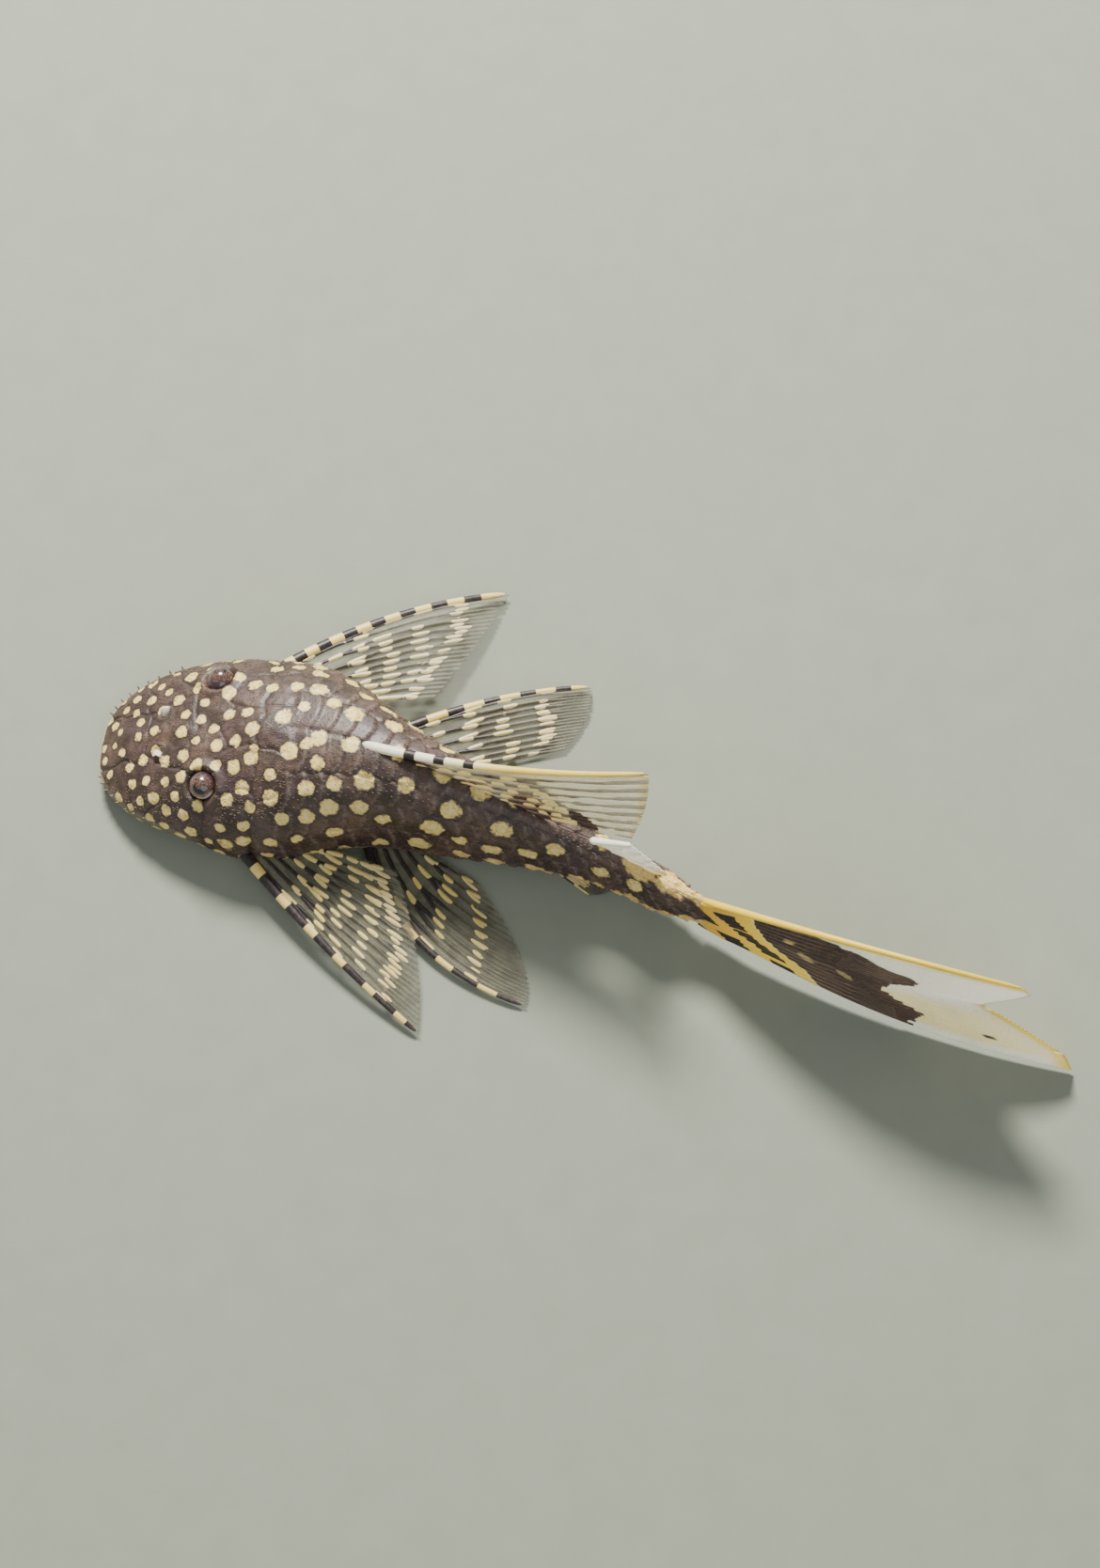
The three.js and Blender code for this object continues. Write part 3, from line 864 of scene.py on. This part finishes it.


# murk is painted shade: it darkens the fins on the shaded left side and the anal fin under the body
pairedLook = dict(splits=(0.28, 0.68), film=0.3, pattern="paired", seed=1, bandCount=7, murk=0.0)
fins = {
    "pectoral_fin_right": spread(
        (point(10.4, 6.0, 2.0), point(14.6, 4.9, 1.3)), (point(27.5, 16.1, 0.4), point(23.2, 6.5, 1.6)),
        0.5, (-0.4, 1.1, 0.3), **dict(
            pairedLook, rays=6, spine=(0.46, 0.22), dashRows=(0.17, 0.29, 0.42, 0.55, 0.69, 0.83),
            bands=(0.18, 0.095, 0.0033), bandShare=0.5)),
    "pectoral_fin_left": spread(
        (point(10.4, -6.0, 2.0), point(14.2, -5.2, 1.3)), (point(25.6, -18.5, 0.4), point(22.5, -7.3, 2.2)),
        0.9, (-0.4, -0.4, 0.3), (0, 0, 0.3), **dict(
            pairedLook, rays=6, seed=2, spine=(0.46, 0.2), dashRows=(0.3, 0.44, 0.58, 0.72, 0.86),
            murk=0.5, bands=(0.1, 0.15, 0.0), bandShare=0.66)),
    "pelvic_fin_right": spread(
        (point(19.4, 3.1, 0.75), point(22.8, 0.6, 0.6)), (point(34.3, 9.4, 0.35), point(33.0, 4.2, 0.35)),
        0.8, (0, 0.8, 0.15), **dict(
            pairedLook, rays=5, seed=3, spine=(0.4, 0.17), dashRows=(0.22, 0.4, 0.58, 0.78),
            bands=(0.2, 0.17, 0.0), bandShare=0.45)),
    "pelvic_fin_left": spread(
        (point(19.8, -4.4, 0.75), point(23.2, -4.4, 0.6)),
        (point(32.7, -15.5, 0.3), point(28.1, -6.7, 0.35)),
        2.2, (-1.7, -1.7, 0.15), **dict(
            pairedLook, rays=5, seed=4, spine=(0.38, 0.16), dashRows=(0.3, 0.52, 0.76),
            murk=0.7, bands=(0.16, 0.2, 0.0), bandShare=0.6)),
    "dorsal_fin": spread(
        (place(19.2, 0, topAt(19.2) - 0.4), place(32, 0, topAt(32) - 0.6)),
        (point(39.6, -3.7, 16.3), point(38.8, -5.8, 9.6)), 0.4, (0, -0.5, -0.7), rays=8, splits=(0.4, 0.75),
        film=0.4, pattern="dorsal", seed=5, spine=(0.4, 0.15), dashRows=(0.1, 0.2, 0.3, 0.4, 0.5),
        bands=(0.19, 0.105, 0.0), bandShare=0.36, bandCount=3),
    "tail_fin": spread(
        (place(45.2, 0, body["stalkTop"] - 0.3), place(45.2, 0, body["stalkBottom"] - 0.1)),
        (point(66.2, -14.2, 11.8), point(70.9, -15.4, 0.3)), tailNotch, (0, -1.3, 3.0), (0, -1.3, -0.2),
        rays=14, splits=(0.3, 0.6), film=0.5, pattern="tail", seed=6, spine=(0.3, 0.13),
        dashRows=(), bands=(0, 1, 0), bandShare=0, bandCount=1),
    "adipose_fin": spread(
        (place(36.2, 0, topAt(36.2) - 0.5), place(41, 0, topAt(41) - 0.5)),
        (place(39.5, 0, 8.6), place(42.4, 0, 6.6)), 0.1, rays=2, splits=(0.5, 0.8), film=0.75,
        pattern="pale", seed=7, spine=(0.32, 0.18), dashRows=(), bands=(0, 1, 0), bandShare=0, bandCount=1),
    "anal_fin": spread(
        (place(31.4, 0, bottomAt(31.4) + 0.3), place(33.6, 0, bottomAt(33.6) + 0.3)),
        (place(37.2, -1.6, 0.25), place(38.6, -0.3, 0.45)), 0.3, rays=4, splits=(0.35, 0.7), film=0.4,
        pattern="paired", murk=0.4, seed=8, spine=(0.2, 0.1), dashRows=(0.4, 0.7), bands=(0.3, 0.4, 0.0),
        bandShare=0.4, bandCount=2),
}
finMesh = {
    "across": 170, "out": 100, "probe": 0.01, "film": 0.09, "ray": (0.26, 0.08), "rayRadius": (0.16, 0.06),
    "dash": 0.03, "branches": (0.25, 0.125), "branchStart": 0.2, "raggedAt": 0.97,
    "thickest": 0.6, "edgeThinness": 0.6, "fleshyBase": 0.5, "baseEnd": 0.16, "forkOver": 0.22,
    "pleat": 0.05, "pleatFrom": (0.1, 0.5), "scallop": 0.014, "tears": 4, "tearDepth": (0.01, 0.03),
    "tearWidth": 0.01, "paleRaggedness": 0.2,
}
dashes = {
    "length": 0.62, "radius": 0.19, "edge": (0.75, 1.15), "shift": 0.022, "wave": 0.03,
    "sizes": (0.7, 1.25), "missing": 0.12, "missingSize": 0.01,
}
finMasks = ("ray", "dash", "dark", "warm", "film")


def fanPoint(fan, u, v):
    start = fan["root"][0].lerp(fan["root"][1], u)
    end = fan["edge"][0].lerp(fan["edge"][1], u)
    bow = fan["rayBow"].lerp(fan["lastRayBow"], u)
    bulge = fan["edgeBow"](u) if callable(fan["edgeBow"]) else fan["edgeBow"] * math.sin(math.pi * clamp(u))
    return start.lerp(end + (end - start).normalized() * bulge, v) + bow * 4 * v * (1 - v)


def nearestRay(fan, u, v):  # distance in ray spacings to a branch and to its whole ray, and the branch
    along = u * fan["rays"] - 0.5
    ray = clamp(round(along), 0, fan["rays"] - 1)
    whole = off = along - ray
    branch = ray
    for start, share in zip(fan["splits"], finMesh["branches"]):
        parted = share * ease((v - start) / finMesh["forkOver"])
        branch = branch * 2 + (off > 0)
        off = off - parted if off > 0 else off + parted
        if parted < share * finMesh["branchStart"]:
            branch -= branch % 2
    return off, whole, branch


finPaint = {
    "film": (138, 136, 112), "filmDark": (108, 104, 88), "ray": (80, 66, 56), "shade": (36, 30, 33),
    "shadeLight": (64, 51, 47), "cream": (252, 248, 220), "yellow": (244, 196, 52), "ochre": (206, 164, 92),
    "fine": 0.25, "mottle": 1.1,
}


def finFinish(name):
    glow = {"Subsurface_Weight": 0.5, "Subsurface_Scale": 0.0012, "Subsurface_Radius": (1.0, 0.9, 0.7)}
    finish = Finish(name, **glow)
    ray, dash, dark, warm, film = (finish.mask(mask) for mask in finMasks)
    fine, mottle = finish.noise(finPaint["fine"], 3), finish.noise(finPaint["mottle"], 2)
    colour = finish.tint(finPaint["film"], finPaint["filmDark"], mottle.step(0.4, 0.65))
    colour = finish.tint(colour, finPaint["ray"], ray * (0.45 + 0.5 * fine))
    shade = finish.tint(finPaint["shade"], finPaint["shadeLight"], fine.step(0.42, 0.7))
    darkened = (dark + (fine - 0.5) * 0.35).step(0.38, 0.62)
    colour = finish.tint(colour, shade, darkened)
    cream = finish.tint(finPaint["cream"], finPaint["yellow"], warm)
    cream = finish.tint(cream, finPaint["ochre"], fine.step(0.52, 0.74) * 0.35)
    lit = (dash + (fine - 0.5) * 0.3).step(0.36, 0.62)
    finish.set("Base Color", finish.tint(colour, cream, lit))
    finish.set("Alpha", (film * (0.85 + 0.3 * mottle)).over(ray).over(darkened * 0.97).over(lit * 0.98))
    finish.set("Roughness", 0.34 + 0.2 * fine)
    finish.bump(fine, 0.03, 0.5)
    return finish


def dashMask(fan, dice, u, v, reach, gap, branch):
    best = 0
    for row, at in enumerate(fan["dashRows"]):
        key = (row, branch if at > fan["splits"][0] else branch - branch % 4)
        if key not in dice:
            pick = random.Random(fan["seed"] * 1000 + row * 97 + int(key[1]))
            shift = pick.uniform(-dashes["shift"], dashes["shift"])
            there = pick.random() > dashes["missing"]
            dice[key] = shift, pick.uniform(*dashes["sizes"]) if there else dashes["missingSize"]
        shift, size = dice[key]
        along = (v - at - shift - dashes["wave"] * math.sin(u * 7 + row)) * reach
        far = math.hypot(along / (dashes["length"] * size), gap / dashes["radius"])
        best = max(best, 1 - ramp(far, *dashes["edge"]))
    return best


dorsalPaint = {
    "bundle": (0.2, 0.36), "outer": (0.5, 0.66), "front": (0.06, 0.26), "frontUp": (0.2, 0.3),
    "darkShare": (0.1, 0.45), "darkTo": (0.42, 0.6), "rearAt": (0.86, 0.24),
    "rearBlotches": ((0.22, 0.09), (0.6, 0.11)), "frontEdge": (0.02, 0.08), "tipEdge": (0.93, 0.99),
    "warmth": (0.7, 0.22), "film": (0.78, 0.45),
}


def dorsalLook(u, v, dash, whole):
    blotch = noise.noise(Vector((u * 5, v * 7, 3.7)))
    frayed = abs(whole) + 0.08 * noise.noise(Vector((u * 9, v * 14, 1)))
    bundle = 1 - ramp(frayed, *dorsalPaint["bundle"])
    outer, front = ramp(v, *dorsalPaint["outer"]), 1 - ramp(u, *dorsalPaint["front"])
    inner = 1 - ramp(v, *dorsalPaint["darkTo"])
    dark = ramp(blotch + 0.75 * u - 0.2, *dorsalPaint["darkShare"]) * inner
    middle, width = dorsalPaint["rearAt"]
    rear = hump(u - middle, width) * max(hump(v - up, size) for up, size in dorsalPaint["rearBlotches"])
    rear = ramp(rear + 0.25 * blotch, 0.35, 0.6)
    dark = max(dark * (1 - dash), rear)
    bundle *= max(outer, 0.8 * front * ramp(v, *dorsalPaint["frontUp"]))
    dash = max(dash, bundle) * (1 - 0.85 * rear)
    margin = max(1 - ramp(u, *dorsalPaint["frontEdge"]), ramp(v, *dorsalPaint["tipEdge"]))
    warm = max(0.8 * margin, mix(*dorsalPaint["warmth"], outer))
    return dash, dark, warm, mix(*dorsalPaint["film"], v)


tailLook = {
    "barPitch": 0.125, "barSlant": 0.2, "barWidth": 0.3, "barBlur": 0.07, "barStart": 0.02, "gaps": 2.3,
    "gapShift": 0.43, "gapEdge": (-0.92, -0.7), "rim": 0.3, "rimEnds": (0.22, 0.75),
    "darkFrom": (0.23, 0.25), "darkTo": (0.61, 0.12), "tooth": 0.06, "teeth": 2.7,
    # olive patches in the dark middle: place out and across, and how far they reach
    "patches": ((0.36, 0.5, 0.045, 0.12), (0.47, 0.56, 0.04, 0.11), (0.3, 0.3, 0.04, 0.06)),
    "fleck": (0.8, 0.8, 0.022, 0.02), "edge": (0.02, 0.07), "notchEdge": (0.93, 0.98), "film": (0.95, 0.8),
}


def caudalLook(u, v, ray, branch):
    wave = noise.noise(Vector((u * 6, v * 5, 9.1)))
    slant = v - tailLook["barSlant"] * (u - 0.5) + 0.012 * wave
    base = 1 - ramp(slant, *tailLook["darkFrom"])
    bar = (slant - tailLook["barStart"]) / tailLook["barPitch"]
    gap = 2 * math.pi * (u * tailLook["gaps"] + tailLook["gapShift"] * round(bar)) + 2 * wave
    width = tailLook["barWidth"]
    bars = 1 - ramp(abs(bar - round(bar)), width - tailLook["barBlur"], width)
    bars *= ramp(math.cos(gap), *tailLook["gapEdge"])
    reach = tailLook["rim"] * ramp(v, *tailLook["rimEnds"])
    rim = 1 - ramp(u + 0.03 * wave, reach - 0.03, reach + 0.01)
    tooth = tailLook["tooth"] * (abs(2 * ((u * tailLook["teeth"] + 0.42) % 1) - 1) - 0.5)
    tooth += 0.02 * noise.noise(Vector((branch * 0.63, 5.3, 1.7)))
    end, further = tailLook["darkTo"]
    end += further * hump(u - 0.34, 0.16)  # further out beside the notch
    middle = (1 - base) * (1 - ramp(v + tooth, end - 0.02, end))
    olive = max(hump(v - a, c) * hump(u - b, d) for a, b, c, d in tailLook["patches"])
    fleckOut, fleckAcross, fleckLong, fleckWide = tailLook["fleck"]
    fleck = hump(v - fleckOut, fleckLong) * hump(u - fleckAcross, fleckWide)
    dark = max(middle * (1 - rim) * (1 - 0.55 * ramp(olive, 0.3, 0.9)), base * bars, fleck)
    pale = (1 - dark) * max(base, 0.68 + 0.3 * ray)
    edge = 1 - ramp(u, *tailLook["edge"])
    notchEdge = ramp(v, *tailLook["notchEdge"]) * ramp(u, 0.42, 0.46)
    lower = 0.5 * ramp(u, 0.45, 0.6) * (1 - ramp(u, 0.86, 0.95))
    return pale, dark, max(base * 0.95, edge, notchEdge, 0.9 * olive, lower), mix(*tailLook["film"], v)


def finLook(fan, dice, u, v, reach, gap, whole, branch):  # the values of finMasks at a place of the fin
    ray = hump(gap, mix(*finMesh["rayRadius"], v)) * (1 - 0.35 * ramp(v, 0.72, 0.95))
    dash = dashMask(fan, dice, u, v, reach, gap, branch)
    if fan["pattern"] == "dorsal":
        return ray, *dorsalLook(u, v, dash, whole)
    if fan["pattern"] == "tail":
        return ray, *caudalLook(u, v, ray, branch)
    if fan["pattern"] == "pale":
        return 0.2 * ramp(u, 0.8, 0), 1.0, 0.0, 0.04 + 0.85 * ramp(u, 0.72, 0.98), 1.0
    # painted shade: darker, more opaque film and dimmer dashes where murk is set
    murk = fan["murk"] * (0.75 + 0.5 * noise.noise(Vector((u * 4, v * 5, 2.2))))
    dark = ray * mix(0.72, 0.3, ramp(v, 0.3, 0.65)) * (1 - dash) + 0.34 * murk
    film = (fan["film"] + 0.28 * murk) * mix(1.25, 0.7, v)
    return ray, dash * (1 - 0.3 * murk), dark, 0.5 + 0.45 * murk, film


def finNormal(fan, u, v):
    p, step = fanPoint(fan, u, v), finMesh["probe"]
    normal = (fanPoint(fan, u + step, v) - p).cross(fanPoint(fan, u, v + step) - p).normalized()
    return normal * math.copysign(1, normal.z)


def makeFin(name, fan, finish):
    bm = bmesh.new()
    bmesh.ops.create_grid(bm, x_segments=finMesh["across"], y_segments=finMesh["out"], size=0.5)
    masks = [bm.verts.layers.float.new(mask) for mask in finMasks]
    deform = bm.verts.layers.deform.new()
    pick = random.Random(fan["seed"])
    tears = [(pick.random(), pick.uniform(*finMesh["tearDepth"])) for _ in range(finMesh["tears"])]
    raggedness = finMesh["paleRaggedness"] if fan["pattern"] == "pale" else 1
    dice = {}
    for v in bm.verts:
        u, out = v.co.x + 0.5, v.co.y + 0.5
        off = nearestRay(fan, u, finMesh["raggedAt"])[0]
        ragged = finMesh["scallop"] * min(1, abs(off) * 8) ** 2
        ragged += sum(cut * hump(u - at, finMesh["tearWidth"]) for at, cut in tears)
        out *= 1 - ragged * raggedness
        width = (fanPoint(fan, 1, out) - fanPoint(fan, 0, out)).length
        reach = (fanPoint(fan, u, 1) - fanPoint(fan, u, 0)).length
        off, whole, branch = nearestRay(fan, u, out)
        look = finLook(fan, dice, u, out, reach, abs(off) * width / fan["rays"], whole, branch)
        for mask, value in zip(masks, look):
            v[mask] = value
        pleat = finMesh["pleat"] * (1 - 2 * hump(off, 0.1)) * ramp(out, *finMesh["pleatFrom"])
        v.co = fanPoint(fan, u, out) - finNormal(fan, u, out) * pleat
        thick = finMesh["film"] + mix(*finMesh["ray"], out) * look[0] + finMesh["dash"] * look[1]
        thick += finMesh["fleshyBase"] * (1 - ramp(out, 0.0, finMesh["baseEnd"]))
        v[deform][0] = min(1, thick * mix(1, finMesh["edgeThinness"], out) / finMesh["thickest"])
    piece = joined(bm, name + "_web", finish, "fin", name)
    piece.vertex_groups.new(name="thickness")
    shell = piece.modifiers.new("shell", "SOLIDIFY")
    shell.thickness = finMesh["thickest"] * mm
    shell.offset = 0
    shell.vertex_group = "thickness"
    shell.thickness_vertex_group = 0


finSpine = {
    "sides": 20, "rings": 150, "flatness": 0.8, "end": 0.985, "taper": 0.8, "skinEnd": (0.11, 0.15),
    "ray": 0.3,
    "warmth": {"paired": (0.75, 0.75), "dorsal": (0.1, 0.9), "tail": (1, 1), "pale": (0.02, 0.02)},
    "warmthRise": (0.2, 0.6),
}


def makeFinSpine(name, fan, finish):
    def path(t):
        return fanPoint(fan, 0.0, t * finSpine["end"])

    def radius(t):
        return mix(*fan["spine"], t ** finSpine["taper"])

    first, gain, stretch = fan["bands"]
    middles = [first + gain * k + stretch * k * k for k in range(fan["bandCount"])]
    bm = bmesh.new()
    masks = [bm.verts.layers.float.new(mask) for mask in finMasks]
    drawn = rod(bm, path, radius, finSpine["sides"], finSpine["rings"], finSpine["flatness"])
    for v, along, _ in drawn:
        near = min(range(len(middles)), key=lambda k: abs(along - middles[k]))
        halfBand = (gain + 2 * stretch * near) * fan["bandShare"] / 2
        dark = 1 - ramp(abs(along - middles[near]), halfBand * 0.8, halfBand * 1.2) if halfBand else 0
        if fan["pattern"] == "paired":
            dark = max(dark, 0.8 - ramp(along, *finSpine["skinEnd"]))  # skin colour by the shoulder
        warm = mix(*finSpine["warmth"][fan["pattern"]], ramp(along, *finSpine["warmthRise"]))
        for mask, value in zip(masks, (finSpine["ray"], 1 - dark, dark, warm, 1.0)):
            v[mask] = value
    facedOut(bm, name + "_spine", finish, "fin")


def makeFins():
    finish = finFinish("fin_finish")
    for name, fan in fins.items():
        makeFin(name, fan, finish)
        makeFinSpine(name, fan, finish)


makeFins()
print("fins done")


# Sucker mouth, feelers, teeth
mouth = {
    "station": 4.4, "length": 2.7, "width": 3.2, "top": 1.0, "underLip": 0.05, "roof": 0.55,
    "opening": 0.36, "openingEdge": (0.6, 0.14), "flatness": 0.62, "rimLift": 0.22, "rimStart": 0.86,
    "papilla": 0.3, "papillaHeight": 0.13, "fringe": 0.02, "fringes": 46, "segments": 128, "rings": 72,
    "lip": (198, 178, 148), "lipDark": (160, 138, 116), "inside": (150, 96, 84),
}


def lipFinish():
    finish = Finish("lip_finish", Subsurface_Weight=0.2, Subsurface_Scale=0.0008)
    inner, fine = finish.mask("inner"), finish.noise(0.3, 3)
    colour = finish.tint(mouth["lip"], mouth["lipDark"], fine.step(0.4, 0.7))
    finish.set("Base Color", finish.tint(colour, mouth["inside"], inner))
    finish.set("Roughness", 0.4 + 0.2 * fine)
    finish.bump(fine, 0.04, 0.5)
    return finish


def lipBelow(down, turn):  # how far from the middle, how high, and how far inside the mouth
    r = math.sin(math.pi * down * mouth["flatness"]) / math.sin(math.pi * mouth["flatness"] / 2)
    narrow, wide = mouth["openingEdge"]
    hollow = 1 - ramp(r, mouth["opening"] * narrow, mouth["opening"] + wide)
    z = mix(mouth["underLip"], mouth["roof"], hollow)
    z += mouth["rimLift"] * ramp(r, mouth["rimStart"], 1.0) ** 2
    rows = r * mouth["width"] / mouth["papilla"]
    across = 2 * math.pi * max(1, round(rows)) * turn
    bead = (0.5 + 0.5 * math.cos(2 * math.pi * rows)) * (0.5 + 0.5 * math.cos(across))
    z += mouth["papillaHeight"] * (1 - bead) * (1 - hollow) * (1 - ramp(r, 0.9, 0.98))
    return r, z, hollow


def lipAbove(down):
    rise = (down - 0.5) * 2
    r = 1 - 0.12 * rise if rise < 0.5 else 0.94 * math.cos(math.pi * (rise - 0.5))
    return r, mix(mouth["underLip"] + mouth["rimLift"], mouth["top"], ramp(rise, 0, 0.5)), 0


def makeMouth(finish):
    bm = bmesh.new()
    bmesh.ops.create_uvsphere(bm, u_segments=mouth["segments"], v_segments=mouth["rings"], radius=1)
    inner = bm.verts.layers.float.new("inner")
    for v in bm.verts:
        down = math.acos(clamp(-v.co.z, -1, 1)) / math.pi  # 0 under the mouth's middle, 1 at the top
        turn = math.atan2(v.co.y, v.co.x)
        r, z, v[inner] = lipBelow(down, turn) if down < 0.5 else lipAbove(down)
        r *= 1 + mouth["fringe"] * math.cos(mouth["fringes"] * turn) * ramp(r, 0.85, 1)
        along, side = mouth["length"] * r * math.cos(turn), mouth["width"] * r * math.sin(turn)
        v.co = place(mouth["station"] + along, side, z)
    facedOut(bm, "lip_disc", finish, "lip", "sucker_mouth")


feeler = {
    "path": ((4.7, 3.2, 0.55), (5.8, 4.3, 0.42), (7.1, 4.75, 0.3)),  # station, side and height
    "radius": (0.3, 0.1), "sides": 20, "rings": 40,
}


def makeFeelers(finish):
    for side, name in ((1, "right"), (-1, "left")):
        bm = bmesh.new()
        bm.verts.layers.float.new("inner")
        path = bent(*(place(s, side * across, up) for s, across, up in feeler["path"]))
        rod(bm, path, lambda t: mix(*feeler["radius"], t), feeler["sides"], feeler["rings"])
        facedOut(bm, "feeler_" + name, finish, "lip", "barbel_" + name)


teeth = {
    "count": 18, "bow": (0.62, 0.28), "side": 0.95, "up": 0.46, "lean": (0.5, -0.8), "length": 0.34,
    "radius": 0.045, "corner": 0.1, "spacing": 0.02, "pale": (226, 206, 160), "amber": (168, 96, 44),
}


def makeTeeth():
    finish = Finish("tooth_finish", Roughness=0.3)
    share = finish.noise(0.2).step(0.4, 0.7)
    finish.set("Base Color", finish.tint(teeth["pale"], teeth["amber"], share))
    roots, corner = [], teeth["corner"]
    for jaw, k in product((-1, 1), range(teeth["count"])):
        swing = mix(-1, 1, (k + 0.5) / teeth["count"])
        out, bow = teeth["bow"]
        at = place(mouth["station"] + jaw * (out - bow * swing * swing), teeth["side"] * swing, teeth["up"])
        lie = Vector((-jaw * teeth["lean"][0], 0, teeth["lean"][1])).normalized()
        patch = Vector((corner + teeth["spacing"] * k, corner + corner * jaw))
        roots.append((at, lie, teeth["length"], teeth["radius"], patch, ()))
    makeThorns("teeth", roots, finish, "lip", ())


lips = lipFinish()
makeMouth(lips)
makeFeelers(lips)
makeTeeth()
print("mouth done")


# Nostril flaps and the snout's first short bristles
flap = {
    "height": 0.5, "width": 0.36, "waist": (0.7, 0.5), "behind": 0.08, "lean": (-0.45, 0.1), "root": 0.28,
    "middle": 0.12, "tipBack": 0.12, "sides": 28, "rings": 24, "flatness": 0.3,
    # pale is near white as a painted highlight, standing in for sunlight caught on the wet flap
    "pale": (238, 230, 210), "dull": (206, 180, 150), "edge": (120, 70, 52),
}
bristle = {
    "seed": 9, "count": 9, "stations": (0.35, 5.2, 1.6), "degrees": 9, "scatter": (-2, 3),
    "length": (0.18, 0.34), "radius": (0.1, 0.03), "lean": (-0.3, 0, 0.5), "curl": 0.1, "root": 0.12,
    "sides": 8, "rings": 10, "pale": (150, 138, 112), "dull": (108, 92, 76),
}


def flapFinish():
    finish = Finish("flap_finish", Roughness=0.4)
    rim, fine = finish.mask("rim"), finish.noise(0.2, 2)
    # the flap's near-white colour is a painted highlight
    colour = finish.tint(flap["pale"], flap["dull"], fine.step(0.4, 0.7) * 0.6)
    finish.set("Base Color", finish.tint(colour, flap["edge"], rim))
    return finish


def flapWidth(t):
    return flap["width"] * (flap["waist"][0] + flap["waist"][1] * math.sin(math.pi * t))


def makeFlaps():
    finish = flapFinish()
    for side, name in ((1, "right"), (-1, "left")):
        flatAngle = math.acos(side * nostril["side"] / halfWidthAt(nostril["station"]))
        at, normal = onSkin(nostril["station"] + flap["behind"], flatAngle)
        forward, outward = flap["lean"]
        lean = (normal + Vector((forward, side * outward, 0))).normalized()
        tip = at + lean * flap["height"] - Vector((flap["tipBack"], 0, 0))
        path = bent(at - normal * flap["root"], at + lean * flap["middle"], tip)
        bm = bmesh.new()
        rim = bm.verts.layers.float.new("rim")
        drawn = rod(bm, path, flapWidth, flap["sides"], flap["rings"], flap["flatness"], Vector((1, 0, 0)))
        for v, along, _ in drawn:
            v[rim] = ramp(along, 0.75, 0.95) * 0.5 + (1 - ramp(along, 0.3, 0.45)) * 0.8
        facedOut(bm, "nostril_flap_" + name, finish, "skin")


def makeBristles():
    dice = random.Random(bristle["seed"])
    finish = Finish("bristle_finish", Roughness=0.45)
    share = finish.noise(0.2, 2).step(0.35, 0.65)
    finish.set("Base Color", finish.tint(bristle["pale"], bristle["dull"], share))
    bm = bmesh.new()
    first, reach, crowding = bristle["stations"]
    for side, k in product((-1, 1), range(bristle["count"])):
        s = first + reach * ((k + 0.5) / bristle["count"]) ** crowding
        degrees = bristle["degrees"] + dice.uniform(*bristle["scatter"])
        at, normal = onSkin(s, math.radians(degrees if side > 0 else 180 - degrees))
        length = dice.uniform(*bristle["length"])
        out = (normal + Vector(bristle["lean"])).normalized()
        tip = at + out * length + Vector((0, 0, bristle["curl"]))
        path = bent(at - normal * bristle["root"], at + out * length * 0.5, tip)
        rod(bm, path, lambda t: mix(*bristle["radius"], t), bristle["sides"], bristle["rings"])
    facedOut(bm, "snout_bristles", finish, "skin")


makeFlaps()
makeBristles()


def makeFloor():
    finish = Finish("floor_finish", Roughness=0.8)
    fine = finish.noise(studio["floorGrain"], 2)
    finish.set("Base Color", finish.tint(studio["floor"], studio["floorShade"], fine))
    bm = bmesh.new()
    bmesh.ops.create_grid(bm, x_segments=1, y_segments=1, size=studio["floorHalf"] * mm)
    bmesh.ops.translate(bm, vec=(0, 0, -studio["floorDrop"] * mm), verts=bm.verts)
    mesh = bpy.data.meshes.new("floor")
    bm.to_mesh(mesh)
    bm.free()
    mesh.materials.append(finish.material)
    floor = bpy.data.objects.new("floor", mesh)
    bpy.context.scene.collection.objects.link(floor)


def setWorld():
    world = bpy.data.worlds.new("studio")
    bpy.context.scene.world = world
    world.use_nodes = True
    sky = world.node_tree.nodes["Background"].inputs
    sky["Color"].default_value = srgb(*studio["world"])
    sky["Strength"].default_value = studio["worldLight"]


makeFloor()
setWorld()
print("studio done")
